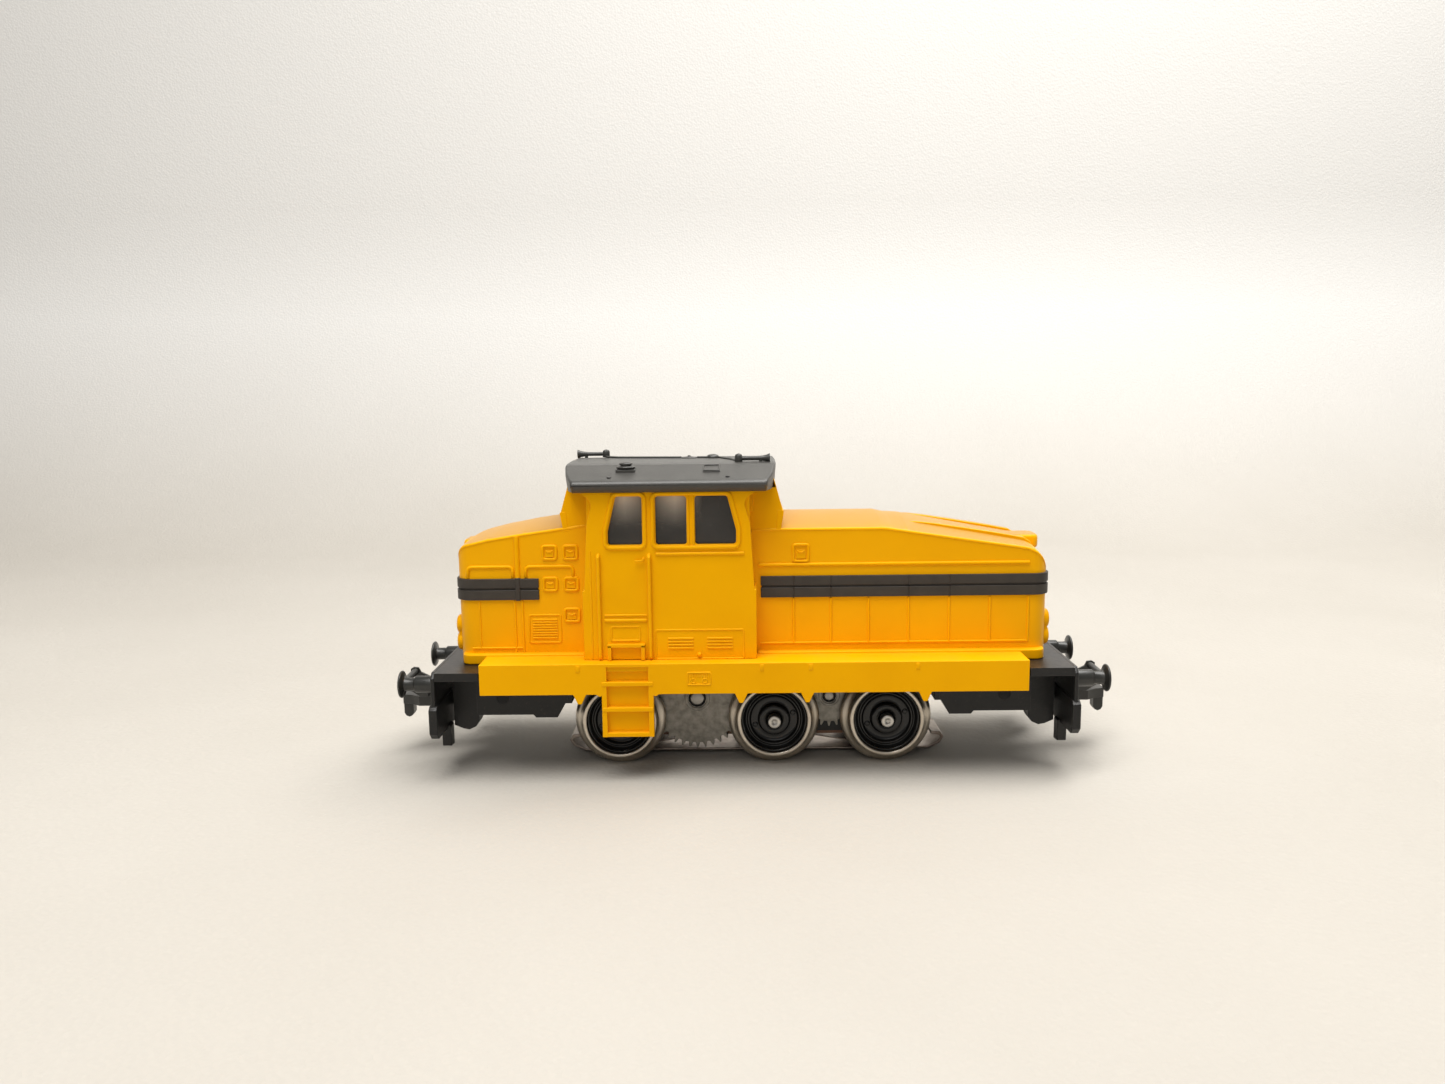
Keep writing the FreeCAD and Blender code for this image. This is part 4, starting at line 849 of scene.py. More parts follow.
housings = {
    "front": {
        "start": 40.0, "end": 47.0, "half": 2.5, "middle": 43.7, "reach": 3.7,
        "levels": ((33.85, 0.35), (34.1, 0.06), (34.5, 0.0), (35.6, 0.0), (35.95, 0.1), (36.2, 0.45)),
    },
    "rear": {
        "start": -42.0, "end": -47.3, "half": 2.4, "middle": -44.6, "reach": 2.8,
        "levels": ((34.1, 0.35), (34.35, 0.06), (34.65, 0.0), (35.75, 0.0), (36.1, 0.12), (36.35, 0.5)),
    },
}
cornerLamp = {
    "across": 6.6,
    "levels": (21.85 - 1.36, 21.85 + 1.36),
    "barrel": [(0.0, 46.2), (1.64, 46.2), (1.62, 47.0), (1.45, 47.42), (1.2, 47.58), (1.0, 47.58),
               (0.95, 47.3), (0.0, 47.25)],
    "lensFace": 47.28,
    "dome": [(0.0, -0.3), (0.9, -0.3), (0.9, 0.0), (0.78, 0.12), (0.5, 0.22), (0.0, 0.28)],
}


def buildHousing(name, box):
    # a rounded box on the bonnet nose, drawn in at its foot and top
    start, end, half, middle = (box[key] for key in ("start", "end", "half", "middle"))
    plan = roundedPath([(start, -half), (end, -half, 1.1), (end, half, 1.1), (start, half)], 0.2, 5)
    bm = bmesh.new()
    sections = []
    for level, shrink in box["levels"]:
        along = 1 - shrink / box["reach"]
        across = 1 - shrink / half
        sections.append([Vector((middle + (x - middle) * along, y * across, level)) for x, y in plan])
    addLoft(bm, sections)
    makePiece("lamp_housing_" + name, bm, looks["bonnet"], bevel=0)


def buildLamps():
    for name, box in housings.items():
        buildHousing(name, box)
    lampSpots = [(cornerLamp["across"] * hand, level) for hand in hands for level in cornerLamp["levels"]]
    bm = bmesh.new()
    for side in hands:
        for hand in hands:
            for level in cornerLamp["levels"]:
                addTurned(bm, profileAlong(cornerLamp["barrel"], side), "X",
                          (0, cornerLamp["across"] * hand, level), 28)
            waist = [(y * hand, z) for y, z in rect(5.35, 7.85, 20.8, 22.9)]
            addPrism(bm, waist, "YZ", *sided(side, 46.2, 47.2))
    makePiece("corner_lamps", bm, looks["yellow"], bevel=0.12)
    bm = bmesh.new()
    for side, topFace, topLevel in ((1, 46.95, 35.05), (-1, 47.25, 35.2)):
        spots = [(topFace, 0.0, topLevel)] + [(cornerLamp["lensFace"], *spot) for spot in lampSpots]
        for face, y, z in spots:
            dome = [(radius, (face + along) * side) for radius, along in cornerLamp["dome"]]
            addTurned(bm, dome, "X", (0, y, z), 28)
    makePiece("headlamp_domes", bm, looks["lens"], bevel=0, replaces=("headlamp_lenses",))


def buildSlopeRibs():
    bm = bmesh.new()
    arris, crown = slopePaths("long")
    across = 5.2
    for hand in hands:
        rings = []
        for x, rise in ((25.2, -0.1), (26.5, 0.12), (29.0, 0.3), (34.0, 0.42), (40.0, 0.5), (43.6, 0.5),
                        (44.6, 0.35), (45.1, -0.3)):
            top = heightAt(crown, x)
            level = top - (top - heightAt(arris, x)) * (across / bonnet["halfWidth"]) ** 2
            rings.append([Vector((x, (across + u) * hand, level + v)) for u, v in
                          ((-0.75, -0.5), (-0.75, rise - 0.1), (-0.6, rise), (0.6, rise), (0.75, rise - 0.1),
                           (0.75, -0.5))])
        addLoft(bm, rings)
    makePiece("slope_ribs", bm, looks["bonnet"], bevel=0.06)


buildBonnet("long", 1, -0.5)
buildBonnet("short", -1, 25.8)
buildStripes()
buildPanelRibs()
buildHoods()
buildHatches()
buildLouvres()
buildPlinth()
buildLamps()
buildSlopeRibs()
print("bonnets built")

# cab: plated sides with real window openings, rounded corners and flared heads

cab = {
    "middle": -12.82,
    "half": 14.2,
    "foot": 18.86,
    "wall": 0.9,
    "sill": 36.85,
    "lintel": 44.35,
    "edge": [(-26.26, 18.86), (-26.26, 29.7, 0.1), (-25.95, 29.8, 0.1), (-25.35, 40.2, 2.0),
             (-24.35, 43.6, 1.6), (-26.6, 45.2)],
    "endEdge": [(-26.26, 18.86), (-26.26, 29.7), (-25.95, 29.8), (-25.5, 39.0), (-25.2, 41.6)],
    "endHalf": 14.2 - 0.6,
    "openHalf": 9.2,
    "centreTop": 46.6,
}


def cabOutline():
    left = roundedPath(cab["edge"], 0.0, 6, closed=False)
    centre = cab["middle"]
    right = [Vector((2 * centre - point.x, point.y)) for point in left]
    return left + right[::-1]


def windowHoles(grow=0.0):
    sill = cab["sill"] - grow
    head = cab["lintel"] + grow
    first = [(-22.15 - grow, sill), (-16.83 + grow, sill), (-16.83 + grow, head), (-20.8 - grow, head),
             (-22.13 - grow, sill + 2.1 + grow)]
    second = rect(-14.77 - grow, -10.0 + grow, sill, head)
    third = [(-8.71 - grow, sill), (-2.45 + grow, sill), (-2.43 + grow, sill + 2.2 + grow),
             (-3.77 + grow, head), (-8.71 - grow, head)]
    radius = 0.45 + grow
    return [roundedPath(first, radius, 5), roundedPath(second, radius, 5), roundedPath(third, radius, 5)]


def plateWithHoles(name, outlines, low, high, bevel):
    # a flat curve with holes, thickened and bevelled, then stood up as an XZ wall
    data = bpy.data.curves.new(name, "CURVE")
    data.dimensions = "2D"
    data.fill_mode = "BOTH"
    data.extrude = (abs(high - low) / 2 - bevel) * mm
    data.bevel_depth = bevel * mm
    data.bevel_resolution = 2
    data.offset = -bevel * mm
    for outline in outlines:
        spline = data.splines.new("POLY")
        spline.points.add(len(outline) - 1)
        for index, point in enumerate(outline):
            spline.points[index].co = (point[0] * mm, point[1] * mm, 0, 1)
        spline.use_cyclic_u = True
    carrier = newObject(name + "_curve", data)
    mesh = finalMesh(carrier)
    bpy.data.objects.remove(carrier)
    middle = (low + high) / 2 * mm
    mesh.transform(Matrix.Translation((0, middle, 0)) @ Matrix.Rotation(math.radians(90), 4, "X"))
    bm = bmesh.new()
    bm.from_mesh(mesh)
    bmesh.ops.remove_doubles(bm, verts=bm.verts, dist=1e-7)
    bmesh.ops.dissolve_limit(bm, angle_limit=math.radians(1.0), verts=bm.verts, edges=bm.edges)
    bm.transform(Matrix.Scale(1 / mm, 4))
    bpy.data.meshes.remove(mesh)
    return bm


def buildCabSides():
    for name, hand in leftRight:
        low, high = through(cab["half"] * hand, hand, cab["wall"], 0.0)
        holes = [list(reversed(hole)) for hole in windowHoles()]
        bm = plateWithHoles("cab_side_" + name, [cabOutline()] + holes, low, high, 0.1)
        makePiece("cab_side_" + name, bm, looks["yellow"], bevel=0)


def wallOutline(points, shift):
    return points + [(x + shift, z) for x, z in reversed(points)]


def buildCabEnds():
    # end walls between the sides, standing back from the corners and open below the bonnets
    bm = bmesh.new()
    inside = cab["endHalf"]
    opening = cab["openHalf"]
    for mirrorEnd in (False, True):
        points = [(2 * cab["middle"] - x, z) if mirrorEnd else (x, z) for x, z in cab["endEdge"]]
        shift = -cab["wall"] if mirrorEnd else cab["wall"]
        addPrism(bm, wallOutline(points, shift), "XZ", -inside, -opening)
        addPrism(bm, wallOutline(points, shift), "XZ", opening, inside)
        addPrism(bm, wallOutline(points[1:], shift), "XZ", -opening, opening)
    makePiece("cab_end_walls", bm, looks["yellow"], bevel=0.15)


def buildCabCentres():
    # the raked middle of each end: cheeks, sill, head and posts between its windows
    bm = bmesh.new()
    top = cab["centreTop"]
    for wallX, sillX, headX, side, foot in ((0.2, 4.95, 3.55, 1, 38.4), (-25.6, -29.9, -28.4, -1, 38.6)):
        for hand in hands:
            cheek = [(wallX - 0.8 * side, foot), (sillX - 0.35 * side, foot), (sillX - 0.15 * side, 41.1),
                     (sillX, 41.4), (headX, top), (wallX - 0.8 * side, top)]
            addPrism(bm, cheek, "XZ", *sided(hand, 10.0, 9.1))
        sill = [(sillX - 0.35 * side, foot - 0.1), (sillX + 0.12 * side, 41.2), (sillX + 0.12 * side, 41.55),
                (sillX - 0.9 * side, 41.55), (sillX - 1.2 * side, foot - 0.1)]
        addPrism(bm, sill, "XZ", -10.06, 10.06)
        head = [(headX + 0.45 * side, 45.0), (headX, top), (headX - 0.9 * side, top),
                (headX - 0.45 * side, 45.0)]
        addPrism(bm, head, "XZ", -10.0, 10.0)
        run = headX - sillX
        for y in (-9.3, 0.0, 9.3):
            post = [(sillX - 0.02 * side, 41.4), (sillX + run * 0.8 - 0.02 * side, 45.4),
                    (sillX + run * 0.8 - 0.9 * side, 45.4), (sillX - 0.9 * side, 41.4)]
            addPrism(bm, post, "XZ", y - 0.6, y + 0.6)
        for hand in (-1, 1):
            addPrism(bm, rect(*through(wallX, side, 1.0, 0.0), 41.4, 45.2), "XZ", *sided(hand, 9.6, 10.5))
    makePiece("cab_centre_sections", bm, looks["yellow"], bevel=0.12)


def buildRecessWalls():
    bm = bmesh.new()
    for wallX, side in ((-0.3, 1), (-25.35, -1)):
        for hand in hands:
            addPrism(bm, rect(*through(wallX, side, 0.8, 0.0), 38.2, 45.2), "XZ", *sided(hand, 9.8, 13.7))
    makePiece("cab_recess_walls", bm, looks["yellow"], bevel=0.1)


def buildPanes():
    # one long pane behind the openings of each side
    bm = bmesh.new()
    outline = roundedPath([(-22.9, 36.2), (-2.0, 36.2), (-2.0, 39.6), (-3.0, 44.7), (-21.2, 44.7),
                           (-22.9, 39.6)], 0.3, 3)
    for hand in hands:
        addPrism(bm, outline, "XZ", *sided(hand, 12.6, 13.25))
    makePiece("side_panes", bm, looks["pane"], bevel=0.05,
              replaces=("side_window_glazing",))


trim = {
    "bead": 0.42,
    "post": (-9.7, -8.95),
    "rails": (-23.7, -15.85),
    "ledges": (((-14.75, -1.24), 35.46, 0.27), ((-22.9, -16.4), 25.1, 0.28), ((-22.9, -16.4), 25.9, 0.17)),
    "step": ((-22.5, -16.75, 20.95, 21.45), (-22.5, -21.95, 18.9, 21.2), (-17.3, -16.75, 18.9, 21.2)),
    "vents": (-11.2, -5.1),
}


def addWindowBeads(bm, edge):
    grow, sill, lintel = trim["bead"], cab["sill"], cab["lintel"]
    addBead(bm, windowHoles(grow)[0], edge, 0.33)
    pair = [(-15.2, sill - grow), (-2.02, sill - grow), (-1.98, sill + 2.6), (-3.35, lintel + grow),
            (-15.2, lintel + grow)]
    addBead(bm, roundedPath(pair, 0.85, 6), edge, 0.33)
    for x in trim["post"]:
        addTube(bm, [(x, edge, sill - 0.3), (x, edge, lintel + 0.3)], 0.17, 8)


def addDoor(bm, edge, hand):
    # rails either side, ledges, an inset panel, the step below and the handle
    inner = edge - 0.2 * hand
    outer = (cab["half"] + 0.38) * hand
    for x in trim["rails"]:
        addTube(bm, [(x, inner, 18.9), (x, outer, 19.3), (x, outer, 35.0), (x, inner, 35.4)], 0.3)
    for (low, high), level, radius in trim["ledges"]:
        addTube(bm, [(low, edge, level), (high, edge, level)], radius)
    addBead(bm, roundedPath(rect(-21.9, -17.5, 21.9, 24.1), 0.25, 3), edge - 0.05 * hand, 0.17)
    for block in trim["step"]:
        addPrism(bm, rect(*block), "XZ", *through(edge, hand, 0.3, 0.75))
    addPrism(bm, rect(-21.9, -17.3, 18.95, 20.8), "XZ", *through(edge, hand, 0.2, 0.1))
    reach = edge + 0.42 * hand
    addTube(bm, [(-18.0, reach, 34.45), (-17.0, reach, 34.45), (-16.7, reach, 34.75), (-16.7, inner, 34.9)],
            0.15, 8)


def buildCabTrim():
    bm = bmesh.new()
    for hand in hands:
        edge = (cab["half"] + 0.02) * hand
        addWindowBeads(bm, edge)
        addDoor(bm, edge, hand)
        addBead(bm, roundedPath(rect(-15.0, -1.4, 18.95, 23.5), 0.2, 3), edge - 0.04 * hand, 0.15)
        corner = edge - 0.03 * hand
        addTube(bm, [(-24.9, corner, 19.0), (-24.9, corner, 36.0)], 0.14, 8)
    makePiece("cab_trim", bm, looks["yellow"], bevel=0.07)
    slats = [(x, (cab["half"] + 0.02) * hand, 20.65 + 0.5 * step)
             for hand in hands for x in trim["vents"] for step in range(4)]
    bars("cab_vent_slats", slats, lengthwise, 3.9, 0.18)
    studs("cab_knobs", [(-8.3, (cab["half"] + 0.1) * hand, 19.6) for hand in hands], 0.35, (1, 1, 1))


buildCabSides()
buildCabEnds()
buildCabCentres()
buildRecessWalls()
buildPanes()
buildCabTrim()
print("cab built")

# roof: bowed ends, a rounded fold along each side and the fittings on top

roof = {
    "ends": [(0.0, -29.45, 4.1), (8.0, -29.2, 3.95), (12.0, -28.6, 3.35), (15.2, -27.55, 2.45),
             (15.8, -27.4, 2.35)],
    "profile": [(0.0, 48.9), (3.0, 48.9), (6.5, 48.88), (8.4, 48.76), (10.2, 48.28), (12.0, 47.79),
                (14.75, 47.04), (15.2, 46.9), (15.55, 46.68), (15.74, 46.44), (15.8, 46.2)],
    "under": 45.02,
    "edge": 0.28,
    "curlStart": 14.7,
    "curlWidth": 1.1,
    "curlRise": 1.05,
}


def alongTable(table, spot):
    # values between two rows of a table whose rows start with the distance
    for first, second in zip(table, table[1:]):
        if spot <= second[0]:
            share = (spot - first[0]) / (second[0] - first[0])
            return [low + (high - low) * share for low, high in zip(first[1:], second[1:])]
    return list(table[-1][1:])


def roofSection(y, top, under):
    low, high = alongTable(roof["ends"], min(abs(y), roof["ends"][-1][0]))
    edge = roof["edge"]
    points = [(low + 0.5, under), (high - 0.5, under), (high - edge, under + 0.1), (high, top - edge * 1.3),
              (high - edge * 0.35, top - edge * 0.35), (high - edge * 1.3, top),
              (low + edge * 1.3, top), (low + edge * 0.35, top - edge * 0.35), (low, top - edge * 1.3),
              (low + edge, under + 0.1)]
    return [Vector((x, y, z)) for x, z in points]


def buildRoof():
    bm = bmesh.new()
    stations = []
    for point in roundedPath(roof["profile"], 0.5, 4, closed=False):
        curl = max(0.0, point.x - roof["curlStart"]) / roof["curlWidth"]
        stations.append((point.x, point.y, roof["under"] + roof["curlRise"] * curl ** 2))
    both = [(-y, top, under) for y, top, under in reversed(stations)] + stations[1:]
    addLoft(bm, [roofSection(y, top, under) for y, top, under in both])
    makePiece("cab_roof_shell", bm, looks["roof"], bevel=0, replaces=("cab_roof",))


def roofHeight(y):
    return alongTable(roof["profile"], abs(y))[0]


fittings = {
    "beacon": [(0, 48.6), (1.4, 48.6), (1.42, 48.95), (1.2, 49.08), (0.75, 49.14), (0.3, 49.17),
               (0.26, 49.3), (0.18, 49.36), (0, 49.38)],
    "aerial": [(0, 48.6), (1.05, 48.6), (1.08, 49.0), (1.0, 49.2), (0.8, 49.38), (0.45, 49.48), (0, 49.5)],
    "ventilator": [(0, 48.0), (1.15, 48.0), (1.15, 48.4), (1.45, 48.42), (1.5, 48.6), (1.35, 48.72),
                   (0.85, 48.76), (0.85, 48.95), (1.05, 48.98), (1.05, 49.15), (0.85, 49.28),
                   (0.3, 49.33), (0, 49.35)],
    "hatch": (-12.1, -9.4),
    "lines": (((-24.6, 7.9), (-23.9, 6.0), (-22.0, 4.6), (-11.4, 3.2)), ((-8.8, 3.0), (-7.1, 3.0)),
              ((-5.2, 2.6), (-3.2, -1.5), (-2.2, -5.4))),
}


def buildRoofFittings():
    bm = bmesh.new()
    addTurned(bm, fittings["beacon"], "Z", (-10.1, 3.0, 0), 40)
    addTurned(bm, fittings["aerial"], "Z", (-6.15, 3.0, 0), 40)
    addPrism(bm, roundedPath(rect(-20.9, -17.9, -12.0, -9.0), 0.3, 3), "XY", 47.3, 48.22)
    addTurned(bm, fittings["ventilator"], "Z", (-19.4, -10.5, 0), 40)
    low, high = fittings["hatch"]
    hatch = [(low, roofHeight(low) - 0.5), (high, roofHeight(high) - 0.5), (high, roofHeight(high) + 0.16),
             (low, roofHeight(low) + 0.16)]
    addPrism(bm, hatch, "YZ", -7.45, -4.8)
    border = rect(-7.3, -4.95, low + 0.15, high - 0.15)
    addTube(bm, [(x, y, roofHeight(y) + 0.2) for x, y in border], 0.16, 8, True)
    for points in fittings["lines"]:
        addTube(bm, [(x, y, 49.0) for x, y in points], 0.2, 8)
    makePiece("roof_fittings", bm, looks["roof"], bevel=0.06)
    studs("roof_sockets", [(x, y, roofHeight(y)) for y in (-14.0, 14.0) for x in (-21.7, -3.64)],
          0.36, (1, 1, 0.4), look="chassis", slot="roof_grey")


horn = {
    "bell": [(0.0, 0.5), (0.32, 0.35), (0.62, 0.08), (0.74, 0.0), (0.76, 0.1), (0.55, 0.55), (0.42, 1.2),
             (0.34, 1.9)],
    "knob": [(0, 48.85), (0.62, 48.85), (0.62, 49.75), (0.5, 50.0), (0.3, 50.1), (0.16, 50.16), (0, 50.18)],
}


def buildHorn(node, y, mouth, knob, side, height):
    bm = bmesh.new()
    length = abs(mouth - knob)
    profile = horn["bell"] + [(0.33, length), (0.0, length)]
    addTurned(bm, profileAlong(profile, -side), "X", (mouth, y, height), 28)
    addTurned(bm, horn["knob"], "Z", (knob, y, 0), 28)
    foot = mouth - 1.5 * side
    addPrism(bm, roundedPath(rect(foot - 0.25, foot + 0.25, y - 0.32, y + 0.32), 0.1, 2), "XY", 48.8, height)
    makePiece(node + "_shaped", bm, looks["roof"], bevel=0.04, replaces=(node,))


buildRoof()
buildRoofFittings()
buildHorn("horn_front", -6.0, 3.1, -1.9, 1, 49.4)
buildHorn("horn_rear", 8.0, -29.4, -24.5, -1, 49.42)
print("roof built")

# walkways: plate and deep skirt with lugs, pegs, a plate frame and the steps

skirt = {
    "half": 42.25,
    "face": 16.9,
    "back": 16.0,
    "under": 14.0,
    "top": 18.85,
    "lugs": (-26.8, -1.9, 8.3, 26.4),
    "pegs": (-27.0, 1.3, 8.8, 25.2),
}
ladder = {
    "low": -23.4,
    "high": -15.4,
    "under": 7.2,
    "frame": 0.8,
    "rung": 0.7,
    "pitch": 4.05,
    "back": 15.5,
}


def skirtOutline():
    # lugs hang from the lower edge, and a notch takes the steps
    half, under, top = skirt["half"], skirt["under"], skirt["top"]
    low, high = ladder["low"], ladder["high"]
    outline = [(-half, under)]
    stops = [(middle, "lug") for middle in skirt["lugs"]] + [((low + high) / 2, "steps")]
    for middle, kind in sorted(stops):
        if kind == "lug":
            outline += [(middle - 1.0, under), (middle - 0.3, under - 1.5),
                        (middle + 0.3, under - 1.5), (middle + 1.0, under)]
        else:
            outline += [(low - 0.9, under), (low - 0.3, under - 0.35), (low + 0.4, under), (low + 0.4, 18.3),
                        (high - 0.4, 18.3), (high - 0.4, under), (high + 0.3, under - 0.35),
                        (high + 0.9, under)]
    return outline + [(half, under), (half, top), (-half, top)]


def buildWalkway(name, hand):
    bm = bmesh.new()
    addPrism(bm, rect(-skirt["half"] + 0.03, skirt["half"] - 0.03, 17.52, skirt["top"] - 0.02), "XZ",
             *sided(hand, 10.2, skirt["face"] - 0.4))
    addPrism(bm, skirtOutline(), "XZ", *sided(hand, skirt["back"], skirt["face"]))
    makePiece("walkway_" + name + "_skirt", bm, looks["yellow"], bevel=0.12, segments=3,
              replaces=("walkway_" + name,))


def buildSteps(name, hand):
    bm = bmesh.new()
    low, high, under, back = (ladder[key] for key in ("low", "high", "under", "back"))
    for start, stop in ((low, low + ladder["frame"]), (high - ladder["frame"], high)):
        addPrism(bm, rect(start, stop, under, 18.38), "XZ", *sided(hand, back, skirt["face"] - 0.01))
    for step in range(3):
        foot = under + ladder["pitch"] * step
        addPrism(bm, rect(low + 0.05, high - 0.05, foot + 0.02, foot + ladder["rung"]), "XZ",
                 *sided(hand, back + 0.05, skirt["face"] + (0.1 if step else -0.05)))
    addPrism(bm, rect(low + 0.1, high - 0.1, under + 0.1, 18.32), "XZ", *sided(hand, back + 0.1, back + 0.5))
    makePiece("steps_" + name, bm, looks["yellow"], bevel=0.11, segments=3)


def buildSkirtFittings(name, hand):
    # a plain raised frame with two rings in it, and pegs along the top edge
    bm = bmesh.new()
    face = skirt["face"] * hand
    addBead(bm, roundedPath(rect(-10.1, -6.6, 15.5, 17.4), 0.15, 3), face, 0.14, 8)
    for middle in (-9.25, -7.45):
        turns = (2 * math.pi * step / 12 for step in range(12))
        addBead(bm, [(middle + 0.36 * math.cos(turn), 16.1 + 0.36 * math.sin(turn)) for turn in turns],
                face, 0.12, 6)
    for x in skirt["pegs"]:
        addPrism(bm, rect(x - 0.28, x + 0.28, 17.6, 18.6), "XZ", *sided(hand, 16.7, 17.0))
    makePiece("skirt_fittings_" + name, bm, looks["yellow"], bevel=0.05)


for handName, hand in leftRight:
    buildWalkway(handName, hand)
    buildSteps(handName, hand)
    buildSkirtFittings(handName, hand)
ticks = [(-9.65 + 0.36 * step, skirt["face"] * hand, 16.9) for step in range(8) for hand in hands]
bars("plate_ticks", ticks, upright, 0.4, 0.1, sides=8)
print("walkways built")

# running gear: tyres, dished centres, axles, gears and the collector shoe

wheel = {
    "tyre": [(5.3, 7.05), (7.0, 7.0), (7.33, 7.18), (7.4, 7.5), (7.25, 7.9), (6.75, 8.2), (6.25, 8.42),
             (6.08, 8.8), (6.0, 9.72), (5.93, 9.92), (5.75, 10.0), (5.48, 9.98), (5.34, 9.88), (5.3, 9.7),
             (5.3, 7.05)],
    "wheel_centres": [(0.9, 7.2), (5.29, 7.2), (5.29, 9.3), (5.2, 9.4), (5.05, 9.36), (4.85, 9.05),
                      (4.62, 8.62), (4.42, 8.55), (4.3, 8.86), (4.15, 8.98), (3.98, 8.9), (3.84, 8.58),
                      (3.66, 8.42), (2.72, 8.4), (2.56, 8.5), (2.46, 9.1), (2.36, 9.32), (2.2, 9.4),
                      (1.42, 9.4), (1.32, 9.3), (1.28, 9.05), (0.9, 9.05), (0.9, 7.2)],
    "axle": [(0.0, 0.0), (1.05, 0.0), (1.05, 10.45), (0.97, 10.62), (0.8, 10.68), (0.42, 10.68),
             (0.36, 10.52), (0.0, 10.44)],
    "dimpleRing": 3.18,
}


def buildWheelset(number, spot):
    body = f"wheelset_{number}"
    for name, hand in leftRight:
        bm = bmesh.new()
        addTurned(bm, profileAlong(wheel["tyre"], hand), "Y", spot, 96)
        makePiece(f"tyre_{number}_{name}_turned", bm, looks[f"tyre{number}"], body, 0,
                  replaces=(f"tyre_{number}_{name}",))
    for part, finish, steps, look, slot in (("wheel_centres", "dished", 72, "wheel", "wheel_black"),
                                            ("axle", "turned", 40, f"axle{number}", "steel")):
        bm = bmesh.new()
        for hand in hands:
            addTurned(bm, profileAlong(wheel[part], hand), "Y", spot, steps)
        makePiece(f"{part}_{number}_{finish}", bm, looks[look], body, 0,
                  replaces=(f"{part}_{number}",))
    ring = wheel["dimpleRing"]
    dimples = [(spot[0] + ring * math.cos(angle), 8.46 * hand, spot[2] + ring * math.sin(angle))
               for hand in hands for angle in (math.radians(18), math.radians(198))]
    studs(f"wheel_dimples_{number}", dimples, 0.42, (1, 0.35, 1), look="wheel", body=body, slot="wheel_black")


for wheelNumber, spot in axleSpots.items():
    buildWheelset(wheelNumber, spot)


gears = {
    "drive_gear": {"centre": (-9.05, 0, 10.37), "bore": 1.5, "face": 2.0, "pin": 1.22},
    "idler_gear": {"centre": (12.45, 0, 10.6), "bore": 1.18, "face": 1.65, "pin": 0.9},
}
gearFace = -6.75  # outer face of the gears, across the width


def gearHub(gear):
    # the rim of the hub stands a little proud of the web
    inner = gear["bore"] + 0.05
    outer = gear["face"] + 0.1
    back = gearFace + 0.1
    proud = -0.12

    def extra(bm):
        profile = [(inner, back), (inner, gearFace + proud), (gear["face"], gearFace + proud),
                   (outer, gearFace + proud * 0.6), (outer, back), (inner, back)]
        addTurned(bm, profile, "Y", gear["centre"], 40)
    return extra


def buildPin(node, centre, radius):
    bm = bmesh.new()
    head = [(0.0, -6.9), (radius - 0.3, -6.9), (radius - 0.12, -6.82), (radius - 0.04, -6.7), (radius, -6.5),
            (radius, -1.7), (0.0, -1.7)]
    addTurned(bm, head, "Y", centre, 40)
    makePiece(node + "_turned", bm, looks["steel"], bevel=0, replaces=(node,))
    # painted shade: a near-black ring round the pin head stands in for the shade in its groove
    bm = bmesh.new()
    groove = [(radius + 0.01, -6.79), (radius + 0.22, -6.79), (radius + 0.22, -6.6), (radius + 0.01, -6.6),
              (radius + 0.01, -6.79)]
    addTurned(bm, groove, "Y", centre, 40)
    makePiece(node + "_groove_shade", bm, looks["paintedShade"], bevel=0)


for gearName, gear in gears.items():
    roundedCopy(gearName + "_cut", gearName, looks["gear"], gearName + "_body", 0.06, 1,
                gearHub(gear))
for gearName, gear in gears.items():
    buildPin(gearName + "_pin", gear["centre"], gear["pin"])
for wheelNumber in axleSpots:
    roundedCopy(f"axle_gear_{wheelNumber}_cut", f"axle_gear_{wheelNumber}", looks["gear"],
                f"wheelset_{wheelNumber}", 0.06, 1)
roundedCopy("motor_pinion_cut", "motor_pinion", looks["brass"], "rotor", 0.04, 1)
roundedCopy("slider_shoe_pressed", "slider_shoe", looks["shoe"], "slider", 0.14, 3)
print("running gear built")

# chassis, beams, buffers and couplers


def addFrameBlocks(bm):
    # short blocks between the frame ends and the outer wheels
    for side in hands:
        addPrism(bm, rect(*sided(side, 29.15, 31.2), 10.5, 16.15), "XZ", -9.4, 9.4)


roundedCopy("chassis_casting", "chassis_frame", looks["chassis"], bevel=0.28, segments=3,
            extra=addFrameBlocks)
# painted shade: flat near-black discs over the frame holes stand in for the dark inside them
studs("frame_hole_shade_discs", [(40.3 * side, 9.5 * hand, 11.45) for side in hands for hand in hands], 1.0,
      (1, 0.12, 1), look="paintedShade", slot="chassis_black")
for endName, side in frontRear:
    roundedCopy(f"end_beam_{endName}_cast", f"end_beam_{endName}", looks["chassis"],
                bevel=0.45, segments=4)
    roundedCopy(f"coupler_{endName}_cast", f"coupler_{endName}", looks["coupler"],
                f"coupler_{endName}_body", 0.22, 3)
    roundedCopy(f"coupler_loop_{endName}_bent", f"coupler_loop_{endName}", looks["coupler"],
                f"loop_{endName}_body", 0.2, 3)

buffer = {
    "across": 10.05,
    "level": 14.1,
    "profile": [(0.0, 49.95), (1.9, 49.95), (1.9, 50.2), (1.72, 50.4), (1.4, 50.5), (1.35, 50.7),
                (1.35, 53.9), (1.27, 54.05), (1.1, 54.12), (1.06, 54.3), (1.06, 55.7), (1.3, 55.85),
                (1.95, 55.95), (2.17, 56.08), (2.2, 56.22), (2.12, 56.38), (1.85, 56.47), (1.0, 56.5),
                (0.0, 56.5)],
    "bolts": [(y, z) for y in (8.5, 11.6) for z in (12.65, 15.6)],
}


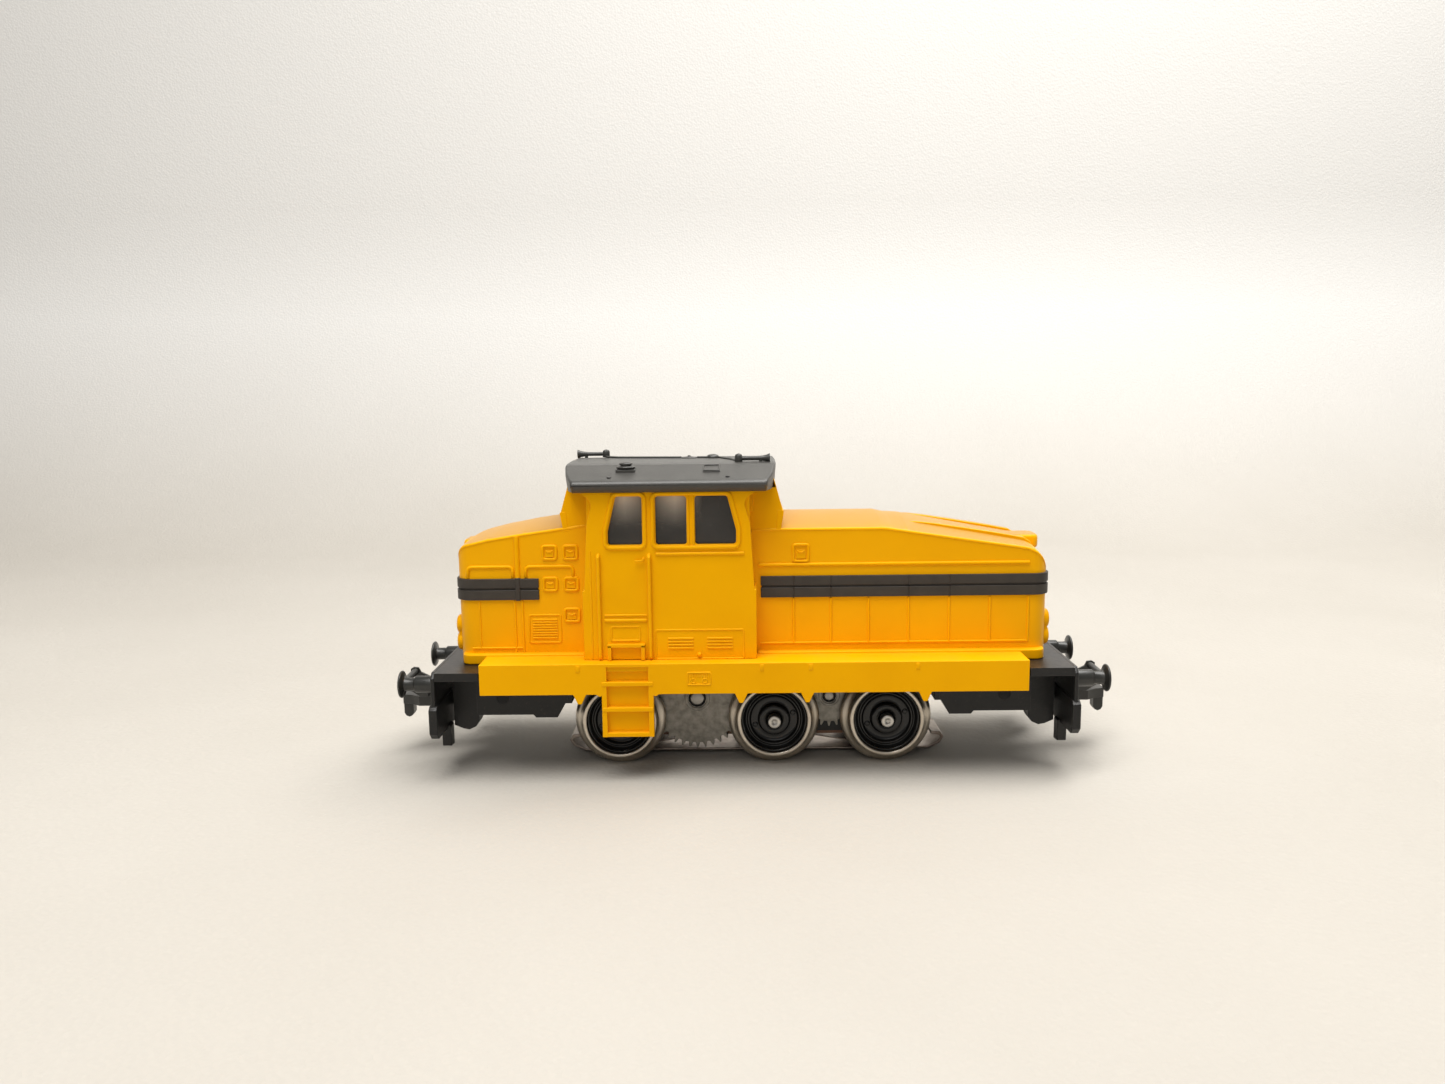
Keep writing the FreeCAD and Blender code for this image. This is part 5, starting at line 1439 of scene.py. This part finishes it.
def buildBuffers():
    bolts = []
    for endName, side in frontRear:
        for handName, hand in leftRight:
            node = f"buffer_{endName}_{handName}"
            bm = bmesh.new()
            centre = (0, buffer["across"] * hand, buffer["level"])
            addTurned(bm, profileAlong(buffer["profile"], side), "X", centre, 56)
            plate = roundedPath(rect(8.0 * hand, 12.1 * hand, 12.2, 16.1), 0.3, 3)
            addPrism(bm, plate, "YZ", *sided(side, 49.85, 50.15))
            makePiece(node + "_turned", bm, looks["coupler"], bevel=0.05,
                      replaces=(node,))
            bolts += [(50.17 * side, y * hand, z) for y, z in buffer["bolts"]]
    studs("buffer_bolts", bolts, 0.28, (0.6, 1, 1), look="coupler", slot="chassis_black")


buildBuffers()
print("chassis built")

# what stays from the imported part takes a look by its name

nodeLooks = {
    "side_window_glazing": "pane", "end_window_glazing": "pane", "headlamp_lenses": "lens",
    "bulb_glasses": "bulb", "bulb_caps": "brass", "bulb_holders": "fibre", "field_magnet": "iron",
    "field_coil": "winding", "motor_shield": "fibre", "armature": "iron", "commutator": "copper",
    "motor_shaft": "steel", "carbon_brush": "carbon", "copper_brush": "copper", "reverser_frame": "iron",
    "reverser_coil": "winding", "contact_plate": "fibre", "drive_gear_pin": "steel",
    "idler_gear_pin": "steel", "coupler_pins": "steel", "slider_spring": "shoe",
    "slider_insulator": "fibre",
}
for node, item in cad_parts.items():
    key = nodeLooks.get(node)
    if key is None and item.hide_render:
        key = "yellow" if node in ("body_shell", "walkway_left", "walkway_right") else "chassis"
    if key is None:
        raise RuntimeError("no look for " + node)
    item.data.materials.clear()
    item.data.materials.append(looks[key])
print("carried-over nodes painted")

# studio: pale sweep, a wide soft light above and behind, and a front fill

studio = {
    "paper": (0.455, 0.428, 0.385),
    "paperTint": (0.435, 0.408, 0.365),
    "wall": (0.68, 0.67, 0.65),
    "front": -1.2,
    "back": 0.2,
    "curve": 0.14,
    "height": 1.4,
    "half": 2.5,
    "climb": 0.09,
    "emboss": 1100.0,
    "steps": 16,
    "air": (1.0, 0.985, 0.965),
    "airStrength": 0.24,
}
softboxes = {  # place, target, width, depth, power, tone
    "softboxTop": ((0.05, -0.05, 0.58), (0.0, 0.0, 0.0), 0.95, 0.3, 7.9, (1.0, 0.985, 0.96)),
    "softboxFront": ((-0.15, -0.9, 0.55), (0.0, 0.0, 0.03), 0.8, 0.4, 1.0, (1.0, 0.98, 0.95)),
}


def makePaper():
    look, tree, shader = newLook("paper")
    surface = useGroup(tree, grainGroup, Base=(*studio["paper"], 1), Tint=(*studio["paperTint"], 1),
                       Cloud_Scale=14.0, Grain_Scale=900.0, Roughness=0.85, Roughness_Spread=0.1)
    place = objectPlace(tree)
    climb = mapRange(tree, splitAxes(tree, place)["Z"], 0.0, studio["climb"])
    colour = mixColour(tree, climb, surface.outputs["Color"], (*studio["wall"], 1))
    feed(tree, shader, {"Base Color": colour, "Roughness": surface.outputs["Roughness"]})
    emboss = feed(tree, addNode(tree, "TexVoronoi"), {"Vector": place, "Scale": studio["emboss"]})
    linkBump(tree, shader, emboss["Distance"], 0.1, 0.8)
    return look


def buildSweep():
    bm = bmesh.new()
    back, curve, steps = (studio[key] for key in ("back", "curve", "steps"))
    line = [(studio["front"], 0.0), (back, 0.0)]
    for step in range(1, steps + 1):
        angle = math.radians(90 * step / steps)
        line.append((back + curve * math.sin(angle), curve * (1 - math.cos(angle))))
    line.append((back + curve, studio["height"]))
    rows = [[bm.verts.new((x, y, z)) for y, z in line] for x in (-studio["half"], studio["half"])]
    for index in range(len(line) - 1):
        bm.faces.new((rows[0][index], rows[1][index], rows[1][index + 1], rows[0][index + 1]))
    newObject("paper_sweep", smoothMesh("paper_sweep", bm, makePaper()))


def addSoftbox(name, place, target, width, depth, power, tone):
    data = bpy.data.lights.new(name, "AREA")
    data.shape = "RECTANGLE"
    data.size = width
    data.size_y = depth
    data.energy = power
    data.color = tone
    lamp = newObject(name, data)
    lamp.location = place
    lamp.rotation_euler = (Vector(target) - Vector(place)).to_track_quat("-Z", "Y").to_euler()


buildSweep()
for boxName, setting in softboxes.items():
    addSoftbox(boxName, *setting)
world = bpy.data.worlds.new("studioWorld")
world.use_nodes = True
feed(world.node_tree, world.node_tree.nodes["Background"], {
    "Color": (*studio["air"], 1), "Strength": studio["airStrength"]})
scene.world = world
print("studio built")
